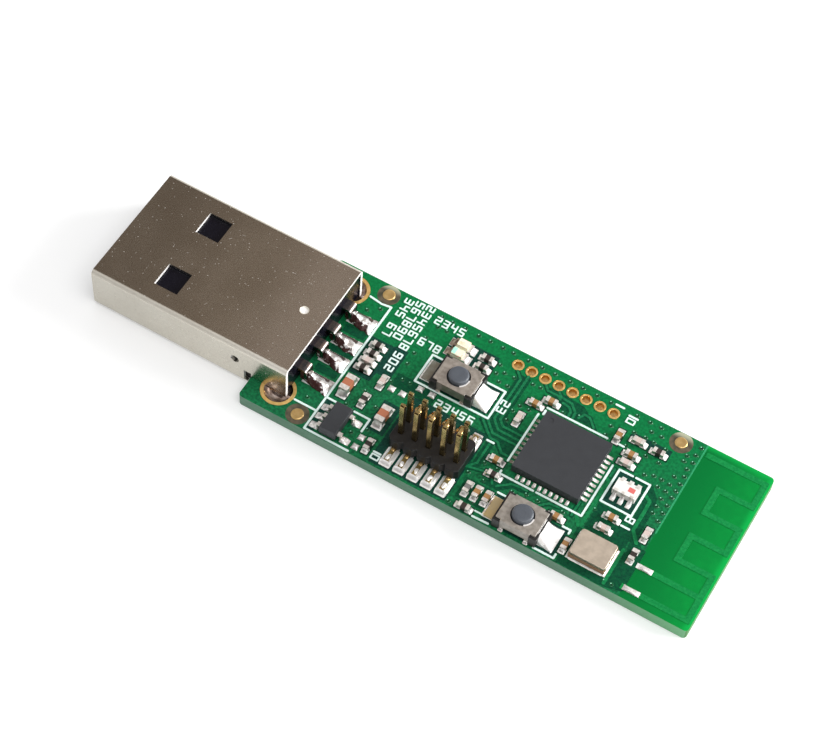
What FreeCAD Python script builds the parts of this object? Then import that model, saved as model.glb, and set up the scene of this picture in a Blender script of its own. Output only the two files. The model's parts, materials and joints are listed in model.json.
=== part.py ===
import FreeCAD, Part
import math
import os

import Sketcher

# USB radio stick: a bare circuit board with a standard USB type A plug at one
# end, a radio chip with its small parts in the middle and a printed antenna at
# the other end.
# Lengths are millimetres. The origin lies under the middle of the stick, on
# the board's underside. +X runs from the plug to the antenna, +Z is up.
# Places on the board are counted from its plug-side edge, from its middle line
# and from its two long edges, near (-Y) and far (+Y).

SIZES = {
    # Circuit board
    "board_wide": 16.0,
    "board_thick": 1.2,
    "board_corner": 0.35,
    "land_thick": 0.03,
    # Plug shell, folded from sheet
    "shell_long": 18.75,
    "shell_wide": 12.0,
    "shell_tall": 4.5,
    "shell_sheet": 0.3,
    "shell_bend": 0.45,
    "shell_over_board": 3.32,
    "shell_edge_gap": 0.35,
    "window_setback": 5.0,
    "window_long": 2.2,
    "window_wide": 2.3,
    "window_spread": 6.16,
    "dimple_setback": 16.8,
    "dimple_ball": 0.6,
    "dimple_deep": 0.15,
    "key_setback": 13.88,
    "key_radius": 0.4,
    "key_height": 2.7,
    "relief_long": 0.35,
    "relief_height": 1.7,
    "seam_wide": 0.06,
    "over_cut": 1.0,
    "leg_long": 1.6,
    "leg_hole_radius": 1.25,
    "leg_land_radius": 1.5,
    "plating": 0.05,
    "leg_solder_tall": 0.95,
    # Plug insulator and contacts
    "insulator_gap": 0.05,
    "tongue_thick": 1.84,
    "tongue_setback": 0.4,
    "cavity_deep": 11.75,
    "insulator_inset": 0.1,
    "board_edge_gap": 0.15,
    "contact_wide": 1.0,
    "contact_thick": 0.25,
    "contact_bend": 0.15,
    "power_setback": 1.2,
    "data_setback": 2.2,
    "power_spread": 7.0,
    "data_spread": 2.0,
    "tail_out": 0.5,
    "tail_foot": 1.85,
    "tail_solder_tall": 0.75,
    "tail_land_long": 2.4,
    "tail_land_wide": 1.3,
    "heap_margin": 0.25,
    # Debug header
    "header_pitch": 1.27,
    "header_columns": 5,
    "header_deep": 3.4,
    "header_tall": 1.1,
    "header_lift": 0.45,
    "header_notch": 0.28,
    "header_row": 1.27,
    "pin_wide": 0.4,
    "pin_tall": 5.55,
    "pin_point": 0.12,
    "foot_reach": 2.95,
    "header_place_x": 15.96,
    "header_place_y": 3.75,
    "header_land_long": 2.0,
    "header_land_wide": 0.8,
    "header_land_out": 0.35,
    # Radio chip
    "soc_wide": 6.0,
    "soc_tall": 0.9,
    "soc_pitch": 0.5,
    "soc_leads_a_side": 10,
    "soc_lead_wide": 0.25,
    "soc_lead_long": 0.42,
    "soc_lead_tall": 0.2,
    "soc_pad": 4.4,
    "soc_dot": 0.25,
    "soc_dot_inset": 0.68,
    "soc_place_x": 25.3,
    "soc_place_y": 0.45,
    # Voltage regulator
    "regulator_long": 2.9,
    "regulator_deep": 1.6,
    "regulator_tall": 1.1,
    "regulator_lift": 0.08,
    "regulator_lead_pitch": 0.95,
    "regulator_lead_wide": 0.4,
    "regulator_lead_thick": 0.15,
    "regulator_lead_reach": 0.62,
    "regulator_draft": 7,
    "regulator_land_long": 0.8,
    "regulator_land_wide": 0.55,
    "regulator_place_x": 8.2,
    "regulator_place_y": 1.75,
    # Push switches
    "switch_long": 3.9,
    "switch_deep": 2.9,
    "switch_tall": 1.3,
    "switch_sheet": 0.18,
    "cover_long": 3.55,
    "cover_deep": 2.4,
    "cover_lip_long": 2.6,
    "cover_lip_tall": 0.75,
    "cover_leg": 0.35,
    "cover_hole": 0.98,
    "button_radius": 0.87,
    "button_flange": 1.05,
    "button_flange_tall": 0.3,
    "button_proud": 0.35,
    "button_bevel": 0.12,
    "well_gap": 0.07,
    "well_floor": 0.35,
    "dome_thick": 0.05,
    "dome_rise": 0.24,
    "dome_crown": 0.45,
    "terminal_wide": 2.0,
    "terminal_thick": 0.15,
    "terminal_out": 0.95,
    "terminal_in": 0.8,
    "terminal_land_long": 1.1,
    "terminal_land_wide": 2.15,
    "terminal_land_in": 0.4,
    "reset_place_x": 14.7,
    "reset_place_y": 5.75,
    "user_place_y": 1.7,
    # Crystal and balun
    "crystal_long": 3.2,
    "crystal_deep": 2.5,
    "crystal_base_tall": 0.5,
    "crystal_can_tall": 0.35,
    "crystal_rim": 0.05,
    "crystal_corner": 0.35,
    "crystal_land_long": 1.2,
    "crystal_land_deep": 1.1,
    "crystal_land_in": 0.45,
    "crystal_place_x": 6.1,
    "crystal_place_y": 2.2,
    "balun_long": 2.0,
    "balun_deep": 1.25,
    "balun_tall": 0.7,
    "balun_pitch": 0.68,
    "balun_columns": 3,
    "balun_notch": 0.12,
    "balun_land_long": 0.8,
    "balun_land_wide": 0.36,
    "balun_land_out": 0.2,
    "balun_place_x": 5.8,
    "balun_place_y": 0.5,
    # Small chip parts and light diodes
    "chip_long": 1.0,
    "chip_wide": 0.5,
    "chip_tall": 0.45,
    "chip_cap": 0.22,
    "chip_step": 0.02,
    "chip_land_long": 0.55,
    "chip_land_wide": 0.58,
    "bulk_long": 1.6,
    "bulk_wide": 0.8,
    "bulk_tall": 0.8,
    "bulk_cap": 0.32,
    "bulk_land_long": 0.85,
    "bulk_land_wide": 0.9,
    "spare_land": 0.55,
    "led_base_tall": 0.25,
    "led_lens_long": 1.1,
    "led_lens_wide": 0.72,
    "led_lens_tall": 0.35,
    "led_lens_draft": 8,
    "led_land_long": 0.8,
    "led_place_x": 13.3,
    "led_green_place": 2.25,
    "led_red_place": 3.25,
    # Test holes
    "test_pitch": 1.27,
    "test_count": 8,
    "test_hole_radius": 0.4,
    "test_land_radius": 0.52,
    "test_place_x": 17.97,
    "test_place_y": 1.38,
    # Alignment marks
    "mark_radius": 0.52,
    "mark_place": 0.95,
    # Printed antenna
    "antenna_after_soc": 9.5,
    "antenna_long": 5.8,
    "antenna_margin": 0.2,
    "antenna_inset": 0.65,
    "trace_wide": 0.5,
    "fold_long": 3.05,
    "fold_pitch": 2.45,
    "feed_pitch": 2.25,
    "antenna_land": 1.2,
}

# Rows of the antenna's folds
FOLD_ROWS = 5

# Expressions that several pieces share
SEAT = "(size.board_thick + size.land_thick)"
SOC_X = "size.soc_place_x"
ANTENNA_X = "(size.soc_place_x + size.antenna_after_soc)"
BOARD_LONG = f"({ANTENNA_X} + size.antenna_long + size.antenna_margin)"
PLUG_REACH = "(size.shell_long - size.shell_over_board)"
EDGE_X = f"(({PLUG_REACH} - {BOARD_LONG}) / 2)"
NEAR = "(-size.board_wide / 2)"
FAR = "(size.board_wide / 2)"
LEG_X = "(size.shell_over_board - size.leg_long / 2)"
LEG_Y = "(size.shell_wide / 2 - size.shell_sheet / 2)"
TONGUE_UNDER = "(size.shell_tall - size.shell_sheet - size.tongue_thick)"
TAIL_X = "(size.shell_over_board + size.tail_out)"
USER_X = SOC_X
RESET_Y = f"({FAR} - size.reset_place_y)"

# Small chip parts: piece name, then for each solid whether x is counted from
# the plug-side edge or the radio chip, x, which line y is counted from, y, and
# whether the chip lies across the board.
CHIPS = [
    ("usb_resistors", [("edge", 7.3, "mid", 2.0, False), ("edge", 7.3, "mid", 1.1, False),
                       ("edge", 7.3, "mid", -0.5, False)]),
    ("capacitor_1", [("edge", 7.3, "mid", 0.3, False)]),
    ("inductor_1", [("edge", 9.35, "mid", -0.8, True)]),
    ("resistor_1", [("edge", 8.95, "mid", -3.1, True)]),
    ("resistor_2", [("edge", 11.45, "near", 1.4, True)]),
    ("led_resistors", [("edge", 15.6, "far", 2.35, False), ("edge", 15.6, "far", 3.3, False)]),
    ("capacitor_2", [("soc", -3.25, "far", 3.2, False)]),
    ("capacitor_3", [("soc", -4.3, "far", 4.05, False)]),
    ("inductor_2", [("soc", -4.8, "mid", 2.0, True)]),
    ("capacitor_4", [("soc", -4.45, "mid", -2.4, False)]),
    ("resistor_3", [("soc", -3.95, "mid", -3.75, False)]),
    ("capacitor_5", [("soc", -5.15, "near", 2.15, True)]),
    ("supply_capacitors", [("soc", -4.3, "near", 2.15, True), ("soc", -3.4, "near", 2.15, True)]),
    ("resistor_4", [("soc", -4.55, "near", 0.5, False)]),
    ("capacitor_6", [("soc", 2.1, "near", 3.55, False)]),
    ("capacitor_7", [("soc", 3.9, "near", 1.7, True)]),
    ("capacitor_8", [("soc", 5.9, "mid", -2.2, False)]),
    ("inductor_3", [("soc", 5.8, "mid", -3.4, False)]),
    ("inductor_4", [("soc", 8.95, "mid", -2.1, True)]),
    ("resistor_5", [("soc", 8.9, "mid", -4.35, True)]),
    ("capacitor_9", [("soc", 2.9, "far", 3.15, True)]),
    ("inductor_5", [("soc", 4.55, "far", 2.8, False)]),
    ("resistor_6", [("soc", 6.4, "far", 2.9, False)]),
    ("capacitor_10", [("soc", 4.6, "mid", 3.75, False)]),
    ("inductor_6", [("soc", 4.6, "mid", 2.85, False)]),
]
BULK_CHIPS = [
    ("bulk_capacitor_1", ("edge", 7.15, "mid", -2.65, True)),
    ("bulk_capacitor_2", ("edge", 11.1, "mid", -3.7, True)),
]
# Spare lands with no part on them: x from the plug-side edge, y from the
# middle line.
SPARE_LANDS = [(10.3, -0.9), (11.3, -0.87), (12.3, 0.3), (13.4, 0.3), (10.6, -6.2), (10.6, -7.2)]
# Alignment marks: x from the plug-side edge, and which long edge is beside.
MARKS = [(5.05, "near"), (5.4, "far"), (32.8, "far")]

doc = FreeCAD.newDocument("usb_radio_stick")
size = doc.addObject("Spreadsheet::Sheet", "size")
nodes = []


def fill_sheet():
    """Write the driving dimensions into the sheet, each under its alias."""
    for row, (alias, number) in enumerate(SIZES.items(), start=1):
        size.set(f"A{row}", alias)
        size.set(f"B{row}", str(number))
        size.setAlias(f"B{row}", alias)
    doc.recompute()


def number(expression):
    """The plain number that an expression on the sheet gives now."""
    probe = doc.getObject("probe") or doc.addObject("App::FeaturePython", "probe")
    return float(probe.evalExpression(expression))


def keep(piece, label):
    """Label a finished piece and list it for export."""
    piece.Label = label
    nodes.append(piece)
    return piece


def place(piece, x="0", y="0", z="0", turned=False):
    """Bind a piece's place: x from the plug-side edge, y from the middle line."""
    if turned:
        turn = FreeCAD.Rotation(FreeCAD.Vector(0, 0, 1), 90)
        piece.Placement = FreeCAD.Placement(FreeCAD.Vector(0, 0, 0), turn)
    piece.setExpression("Placement.Base.x", f"{EDGE_X} + {x}")
    piece.setExpression("Placement.Base.y", f"{y}")
    piece.setExpression("Placement.Base.z", f"{z}")
    return piece


def new_body(name):
    """An empty body."""
    return doc.addObject("PartDesign::Body", name)


def new_sketch(body, plane, offset=None):
    """A sketch on one of the body's own planes, moved out along its normal."""
    sketch = body.newObject("Sketcher::SketchObject", "sketch")
    planes = {feature.Role: feature for feature in body.Origin.OriginFeatures}
    sketch.AttachmentSupport = [(planes[plane], "")]
    sketch.MapMode = "FlatFace"
    if offset:
        sketch.setExpression("AttachmentOffset.Base.z", offset)
    return sketch


def bind(sketch, kind, *where, to):
    """Add a constraint and tie its value to an expression."""
    index = sketch.addConstraint(Sketcher.Constraint(kind, *where, number(to)))
    sketch.setExpression(f"Constraints[{index}]", to)


def add_outline(sketch, corners):
    """A closed outline through corners (x, y) or (x, y, radius), all tied to the sheet."""
    spots = [FreeCAD.Vector(number(corner[0]), number(corner[1]), 0) for corner in corners]
    count = len(corners)
    starts, ends, arcs = [], [], {}
    for index, corner in enumerate(corners):
        here = spots[index]
        if len(corner) == 2:
            starts.append(here)
            ends.append(here)
            continue
        radius = number(corner[2])
        back = (spots[index - 1] - here).normalize()
        ahead = (spots[(index + 1) % count] - here).normalize()
        half = back.getAngle(ahead) / 2
        ends.append(here + back * (radius / math.tan(half)))
        starts.append(here + ahead * (radius / math.tan(half)))
        middle = here + (back + ahead).normalize() * (radius / math.sin(half))
        inner = middle + (here - middle).normalize() * radius
        arcs[index] = Part.Arc(ends[index], inner, starts[index])
    lines = []
    for index in range(count):
        line = Part.LineSegment(starts[index], ends[(index + 1) % count])
        lines.append(sketch.addGeometry(line))
    for index, corner in enumerate(corners):
        before, after = lines[index - 1], lines[index]
        if index not in arcs:
            sketch.addConstraint(Sketcher.Constraint("Coincident", before, 2, after, 1))
            bind(sketch, "DistanceX", -1, 1, after, 1, to=corner[0])
            bind(sketch, "DistanceY", -1, 1, after, 1, to=corner[1])
            continue
        turn = sketch.addGeometry(arcs[index])
        radius = number(corner[2])
        at_start = sketch.getPoint(turn, 1).distanceToPoint(ends[index]) < radius / 100
        first, last = (1, 2) if at_start else (2, 1)
        apex = sketch.addGeometry(Part.Point(spots[index]), True)
        bind(sketch, "DistanceX", -1, 1, apex, 1, to=corner[0])
        bind(sketch, "DistanceY", -1, 1, apex, 1, to=corner[1])
        sketch.addConstraint(Sketcher.Constraint("PointOnObject", apex, 1, before))
        sketch.addConstraint(Sketcher.Constraint("PointOnObject", apex, 1, after))
        sketch.addConstraint(Sketcher.Constraint("Tangent", before, 2, turn, first))
        sketch.addConstraint(Sketcher.Constraint("Tangent", turn, last, after, 1))
        bind(sketch, "Radius", turn, to=corner[2])


def add_rectangle(sketch, low, high, radius=None):
    """A rectangle from one corner to the other, with rounded corners if asked."""
    corners = [(low[0], low[1]), (high[0], low[1]), (high[0], high[1]), (low[0], high[1])]
    if radius:
        corners = [(*corner, radius) for corner in corners]
    add_outline(sketch, corners)


def add_circle(sketch, centre, radius):
    """A circle tied to the sheet."""
    middle = FreeCAD.Vector(number(centre[0]), number(centre[1]), 0)
    circle = sketch.addGeometry(Part.Circle(middle, FreeCAD.Vector(0, 0, 1), number(radius)))
    bind(sketch, "DistanceX", -1, 1, circle, 3, to=centre[0])
    bind(sketch, "DistanceY", -1, 1, circle, 3, to=centre[1])
    bind(sketch, "Radius", circle, to=radius)


def add_feature(body, kind, sketch, length=None, both=False, back=False, through=False):
    """A pad or pocket of the sketch."""
    feature = body.newObject(f"PartDesign::{kind}", kind.lower())
    feature.Profile = sketch
    if through:
        feature.Type = "ThroughAll"
    else:
        feature.setExpression("Length", length)
    if both:
        feature.Midplane = True
    if back:
        feature.Reversed = True
    sketch.Visibility = False
    return feature


def add_row(body, features, sketch, axis, span, count):
    """A straight pattern of features along an axis of the sketch."""
    row = body.newObject("PartDesign::LinearPattern", "row")
    row.Originals = features
    row.Direction = (sketch, [axis])
    row.setExpression("Length", span)
    row.setExpression("Occurrences", count)
    body.Tip = row
    return row


def new_block(name, low, high):
    """A plain block between two corners given as expressions."""
    block = doc.addObject("Part::Box", name)
    for side, axis, start, end in zip(("Length", "Width", "Height"), "xyz", low, high):
        block.setExpression(side, f"({end}) - ({start})")
        block.setExpression(f"Placement.Base.{axis}", start)
    return block


def new_drum(name, centre, radius, low, high):
    """A plain upright cylinder given as expressions."""
    drum = doc.addObject("Part::Cylinder", name)
    drum.setExpression("Radius", radius)
    drum.setExpression("Height", f"({high}) - ({low})")
    drum.setExpression("Placement.Base.x", centre[0])
    drum.setExpression("Placement.Base.y", centre[1])
    drum.setExpression("Placement.Base.z", low)
    return drum


def join(name, pieces, fuse=False):
    """Several pieces as one object, kept as separate solids or fused."""
    if fuse:
        joined = doc.addObject("Part::MultiFuse", name)
        joined.Shapes = pieces
        joined.Refine = True
    else:
        joined = doc.addObject("Part::Compound", name)
        joined.Links = pieces
    return joined


def cut(name, base, tool):
    """One object with another taken out of it."""
    result = doc.addObject("Part::Cut", name)
    result.Base = base
    result.Tool = tool
    return result


def build_board():
    """The fibreglass board with the leg holes and the row of test holes."""
    body = new_body("board")
    plan = new_sketch(body, "XY_Plane")
    add_rectangle(plan, ("0", NEAR), (BOARD_LONG, FAR), "size.board_corner")
    add_feature(body, "Pad", plan, "size.board_thick")
    holes = new_sketch(body, "XY_Plane")
    for side in ("-", ""):
        add_circle(holes, (LEG_X, f"{side}{LEG_Y}"), "size.leg_hole_radius")
    add_feature(body, "Pocket", holes, back=True, through=True)
    first = new_sketch(body, "XY_Plane")
    add_circle(first, ("size.test_place_x", f"{FAR} - size.test_place_y"), "size.test_hole_radius")
    hole = add_feature(body, "Pocket", first, back=True, through=True)
    doc.recompute()
    add_row(body, [hole], first, "H_Axis", "size.test_pitch * (size.test_count - 1)", "size.test_count")
    keep(place(body), "circuit_board")


def build_plating():
    """Plated barrels with a land on top, in the leg holes and the test holes."""
    legs = new_body("leg_plating")
    for side in ("-", ""):
        centre = (LEG_X, f"{side}{LEG_Y}")
        add_barrel(legs, centre, "size.leg_hole_radius", "size.leg_land_radius")
    keep(place(legs), "leg_hole_plating")
    tests = new_body("test_plating")
    centre = ("size.test_place_x", f"{FAR} - size.test_place_y")
    features, sketch = add_barrel(tests, centre, "size.test_hole_radius", "size.test_land_radius")
    doc.recompute()
    add_row(tests, features, sketch, "H_Axis", "size.test_pitch * (size.test_count - 1)", "size.test_count")
    keep(place(tests), "test_hole_plating")


def add_barrel(body, centre, hole_radius, land_radius):
    """One plated hole: a thin barrel down the hole and a flat ring round its mouth."""
    inner = f"{hole_radius} - size.plating"
    wall = new_sketch(body, "XY_Plane")
    add_circle(wall, centre, hole_radius)
    add_circle(wall, centre, inner)
    barrel = add_feature(body, "Pad", wall, "size.board_thick")
    ring = new_sketch(body, "XY_Plane", "size.board_thick")
    add_circle(ring, centre, land_radius)
    add_circle(ring, centre, inner)
    land = add_feature(body, "Pad", ring, "size.land_thick")
    return [barrel, land], wall


def build_shell():
    """The plug shell: a folded tube ahead of the board and a hood with two legs on it."""
    body = new_body("shell")
    half, tall, sheet, bend = "size.shell_wide / 2", "size.shell_tall", "size.shell_sheet", "size.shell_bend"
    inside = f"({half} - {sheet})"
    tube = new_sketch(body, "YZ_Plane", f"-{PLUG_REACH}")
    add_rectangle(tube, (f"-{half}", "0"), (half, tall), bend)
    add_rectangle(tube, (f"-{inside}", sheet), (inside, f"{tall} - {sheet}"), f"{bend} - {sheet}")
    add_feature(body, "Pad", tube, f"{PLUG_REACH} - size.shell_edge_gap")
    hood = new_sketch(body, "YZ_Plane", "-size.shell_edge_gap")
    foot = SEAT
    add_outline(hood, [
        (f"-{half}", foot), (f"-{half}", tall, bend), (half, tall, bend), (half, foot), (inside, foot),
        (inside, f"{tall} - {sheet}", f"{bend} - {sheet}"), (f"-{inside}", f"{tall} - {sheet}", f"{bend} - {sheet}"),
        (f"-{inside}", foot),
    ])
    add_feature(body, "Pad", hood, "size.shell_over_board + size.shell_edge_gap")
    legs = new_sketch(body, "XY_Plane")
    rear = "size.shell_over_board"
    add_rectangle(legs, (f"{rear} - size.leg_long", inside), (rear, half))
    add_rectangle(legs, (f"{rear} - size.leg_long", f"-{half}"), (rear, f"-{inside}"))
    add_feature(body, "Pad", legs, foot)
    windows = new_sketch(body, "XY_Plane")
    front = f"(size.window_setback - {PLUG_REACH})"
    for side in ("-", ""):
        middle = f"{side}size.window_spread / 2"
        add_rectangle(windows, (front, f"{middle} - size.window_wide / 2"),
                      (f"{front} + size.window_long", f"{middle} + size.window_wide / 2"))
    add_feature(body, "Pocket", windows, back=True, through=True)
    sides = new_sketch(body, "XZ_Plane")
    add_circle(sides, (f"size.key_setback - {PLUG_REACH}", "size.key_height"), "size.key_radius")
    end = "-size.shell_edge_gap"
    add_rectangle(sides, (f"{end} - size.relief_long", bend), ("0", "size.relief_height"))
    add_feature(body, "Pocket", sides, both=True, through=True)
    seam = new_sketch(body, "XY_Plane")
    add_rectangle(seam, (f"-{PLUG_REACH} - size.over_cut", "-size.seam_wide / 2"), ("0", "size.seam_wide / 2"))
    add_feature(body, "Pocket", seam, f"{sheet} + size.over_cut", back=True)
    doc.recompute()
    ball = doc.addObject("Part::Sphere", "dimple")
    ball.setExpression("Radius", "size.dimple_ball")
    place(ball, f"(size.dimple_setback - {PLUG_REACH})", "0", f"{tall} + size.dimple_ball - size.dimple_deep")
    keep(cut("dimpled_shell", place(body), ball), "usb_shell")


def build_contacts():
    """Four contact strips that run under the tongue and bend down to the board."""
    pairs = {}
    for label, setback, spread in (("usb_power_contacts", "size.power_setback", "size.power_spread"),
                                   ("usb_data_contacts", "size.data_setback", "size.data_spread")):
        body = new_body(label)
        for side in ("-", ""):
            strip = new_sketch(body, "XZ_Plane", f"{side}{spread} / 2")
            front = f"({setback} - {PLUG_REACH})"
            under, thick, bend = TONGUE_UNDER, "size.contact_thick", "size.contact_bend"
            outer = f"{bend} + {thick}"
            add_outline(strip, [
                (front, under), (TAIL_X, under, bend), (TAIL_X, SEAT, outer),
                (f"{TAIL_X} + size.tail_foot", SEAT), (f"{TAIL_X} + size.tail_foot", f"{SEAT} + {thick}"),
                (f"{TAIL_X} + {thick}", f"{SEAT} + {thick}", bend),
                (f"{TAIL_X} + {thick}", f"{under} + {thick}", outer), (front, f"{under} + {thick}"),
            ])
            add_feature(body, "Pad", strip, "size.contact_wide", both=True)
        pairs[label] = keep(place(body), label)
    return join("contacts", list(pairs.values()))


def build_insulator(contacts):
    """The moulded tongue and rear block, shaped to the shell, the board and the contacts."""
    body = new_body("insulator")
    sheet, gap = "size.shell_sheet", "size.insulator_gap"
    side = f"(size.shell_wide / 2 - {sheet} - {gap})"
    low, high = f"({sheet} + {gap})", f"(size.shell_tall - {sheet} - {gap})"
    front, rear = f"(size.tongue_setback - {PLUG_REACH})", "(size.shell_over_board - size.insulator_inset)"
    section = new_sketch(body, "YZ_Plane", front)
    add_rectangle(section, (f"-{side}", low), (side, high), f"size.shell_bend - {sheet} - {gap}")
    add_feature(body, "Pad", section, f"{rear} - {front}")
    mouth = new_sketch(body, "XZ_Plane")
    under = f"{low} - size.over_cut"
    add_rectangle(mouth, (f"{front} - size.over_cut", under), (f"size.cavity_deep - {PLUG_REACH}", TONGUE_UNDER))
    add_feature(body, "Pocket", mouth, both=True, through=True)
    step = new_sketch(body, "XZ_Plane")
    add_rectangle(step, ("-size.board_edge_gap", under), (f"{rear} + size.over_cut", SEAT))
    add_feature(body, "Pocket", step, both=True, through=True)
    keep(cut("slotted_insulator", place(body), contacts), "usb_insulator")


def build_plug_solder(contacts):
    """Solder heaped on the four contact feet, and solder that fills the leg holes."""
    heaps = new_body("heaps")
    crest = "size.tail_solder_tall"
    for spread in ("-size.power_spread", "-size.data_spread", "size.data_spread", "size.power_spread"):
        hump = new_sketch(heaps, "XZ_Plane", f"{spread} / 2")
        add_outline(hump, [
            ("0", "0"), ("size.tail_foot + size.heap_margin", "0"),
            (f"size.tail_foot - {crest} / 2", crest, f"{crest} / 2"), ("0", crest),
        ])
        add_feature(heaps, "Pad", hump, "size.contact_wide + size.heap_margin", both=True)
    keep(cut("contact_heaps", place(heaps, TAIL_X, "0", SEAT), contacts), "contact_solder")
    plugs = []
    radius = "size.leg_hole_radius - size.plating"
    half, sheet = "size.shell_wide / 2", "size.shell_sheet"
    for side in ("-", ""):
        middle = f"({side}{LEG_Y})"
        fill = new_drum("fill", (f"{EDGE_X} + {LEG_X}", middle), radius, "0", "size.leg_solder_tall")
        rear = f"{EDGE_X} + size.shell_over_board"
        leg = new_block("leg_room", (f"{rear} - size.leg_long", f"{middle} - {sheet} / 2", "0"),
                        (rear, f"{middle} + {sheet} / 2", SEAT))
        plugs.append(cut("leg_fill", fill, leg))
    keep(join("leg_fills", plugs), "leg_solder")


def build_header():
    """The two-row pin header: a notched moulding and its bent square pins."""
    middle = f"({NEAR} + size.header_place_y)"
    pitch, notch, row = "size.header_pitch", "size.header_notch", "size.header_row"
    start = f"(-{pitch} * (size.header_columns - 1) / 2)"
    span = f"{pitch} * (size.header_columns - 1)"
    pins = new_body("pins")
    features = []
    for side in ("-", ""):
        pin = new_sketch(pins, "YZ_Plane", start)
        sense = "-1" if side else "1"
        near_face = f"{sense} * ({row} / 2 - size.pin_wide / 2)"
        far_face = f"{sense} * ({row} / 2 + size.pin_wide / 2)"
        add_outline(pin, [
            (near_face, "0"), (f"{sense} * size.foot_reach", "0"), (f"{sense} * size.foot_reach", "size.pin_wide"),
            (far_face, "size.pin_wide"), (far_face, "size.pin_tall - size.pin_point"),
            (f"{far_face} - {sense} * size.pin_point", "size.pin_tall"),
            (f"{near_face} + {sense} * size.pin_point", "size.pin_tall"),
            (near_face, "size.pin_tall - size.pin_point"),
        ])
        features.append(add_feature(pins, "Pad", pin, "size.pin_wide", both=True))
    doc.recompute()
    add_row(pins, features, pin, "N_Axis", span, "size.header_columns")
    place(pins, "size.header_place_x", middle, SEAT)
    cells = new_body("cells")
    cell = new_sketch(cells, "XY_Plane", "size.header_lift")
    side, deep = f"({pitch} / 2)", "(size.header_deep / 2)"
    add_outline(cell, [
        (f"{start} - {side}", f"-{deep} + {notch}"), (f"{start} - {side} + {notch}", f"-{deep}"),
        (f"{start} + {side} - {notch}", f"-{deep}"), (f"{start} + {side}", f"-{deep} + {notch}"),
        (f"{start} + {side}", f"{deep} - {notch}"), (f"{start} + {side} - {notch}", deep),
        (f"{start} - {side} + {notch}", deep), (f"{start} - {side}", f"{deep} - {notch}"),
    ])
    pad = add_feature(cells, "Pad", cell, "size.header_tall")
    doc.recompute()
    add_row(cells, [pad], cell, "H_Axis", span, "size.header_columns")
    place(cells, "size.header_place_x", middle, SEAT)
    keep(cut("drilled_header", cells, pins), "header_body")
    keep(pins, "header_pins")


def build_soc():
    """The radio chip: a flat leadless package with ten leads a side."""
    x, y = SOC_X, "size.soc_place_y"
    leads = new_body("soc_terminals")
    half, pitch, wide = "(size.soc_wide / 2)", "size.soc_pitch", "size.soc_lead_wide"
    last = "(size.soc_leads_a_side - 1)"
    features = []
    for plane_side in range(4):
        lead = new_sketch(leads, "XY_Plane")
        sense = "-1" if plane_side % 2 else "1"
        begin = f"(-{pitch} * {last} / 2)"
        outer, inner = f"{sense} * {half}", f"{sense} * ({half} - size.soc_lead_long)"
        low, high = f"{begin} - {wide} / 2", f"{begin} + {wide} / 2"
        if plane_side < 2:
            add_rectangle(lead, (low, outer), (high, inner))
        else:
            add_rectangle(lead, (outer, low), (inner, high))
        pad = add_feature(leads, "Pad", lead, "size.soc_lead_tall")
        doc.recompute()
        axis = "H_Axis" if plane_side < 2 else "V_Axis"
        features.append(add_row(leads, [pad], lead, axis, f"{pitch} * {last}", "size.soc_leads_a_side"))
    slug = new_sketch(leads, "XY_Plane")
    add_rectangle(slug, ("-size.soc_pad / 2", "-size.soc_pad / 2"), ("size.soc_pad / 2", "size.soc_pad / 2"))
    add_feature(leads, "Pad", slug, "size.soc_lead_tall")
    place(leads, x, y, SEAT)
    package = new_body("soc_package")
    plan = new_sketch(package, "XY_Plane")
    add_rectangle(plan, (f"-{half}", f"-{half}"), (half, half))
    add_feature(package, "Pad", plan, "size.soc_tall")
    mark = new_sketch(package, "XY_Plane", "size.soc_tall")
    corner = f"({half} - size.soc_dot_inset)"
    add_circle(mark, (f"-{corner}", corner), "size.soc_dot")
    add_feature(package, "Pocket", mark, "size.land_thick")
    keep(cut("seated_package", place(package, x, y, SEAT), leads), "soc_body")
    keep(leads, "soc_leads")


def build_regulator():
    """The voltage regulator: a drafted moulding with five bent leads."""
    x, y = "size.regulator_place_x", f"({NEAR} + size.regulator_place_y)"
    half, thick = "(size.regulator_deep / 2)", "size.regulator_lead_thick"
    middle = "((size.regulator_tall + size.regulator_lift) / 2)"
    leads = new_body("regulator_terminals")
    for sense, places in (("-1", ("-1", "0", "1")), ("1", ("-1", "1"))):
        for step in places:
            strip = new_sketch(leads, "XZ_Plane", f"{step} * size.regulator_lead_pitch")
            knee = f"{sense} * ({half} + size.regulator_lead_reach / 3)"
            toe = f"{sense} * ({half} + size.regulator_lead_reach)"
            add_outline(strip, [
                (f"{sense} * ({half} - {thick})", f"{middle} + {thick} / 2"),
                (f"{knee} + {sense} * {thick}", f"{middle} + {thick} / 2"),
                (f"{knee} + {sense} * {thick}", thick), (toe, thick), (toe, "0"),
                (knee, "0"), (knee, f"{middle} - {thick} / 2"),
                (f"{sense} * ({half} - {thick})", f"{middle} - {thick} / 2"),
            ])
            add_feature(leads, "Pad", strip, "size.regulator_lead_wide", both=True)
    place(leads, x, y, SEAT)
    package = new_body("regulator_package")
    for base, back in ((middle, False), (middle, True)):
        plan = new_sketch(package, "XY_Plane", base)
        add_rectangle(plan, (f"-{half}", "-size.regulator_long / 2"), (half, "size.regulator_long / 2"))
        pad = add_feature(package, "Pad", plan, "(size.regulator_tall - size.regulator_lift) / 2", back=back)
        pad.setExpression("TaperAngle", "-size.regulator_draft")
    keep(cut("slotted_regulator", place(package, x, y, SEAT), leads), "regulator_body")
    keep(leads, "regulator_leads")


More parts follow.
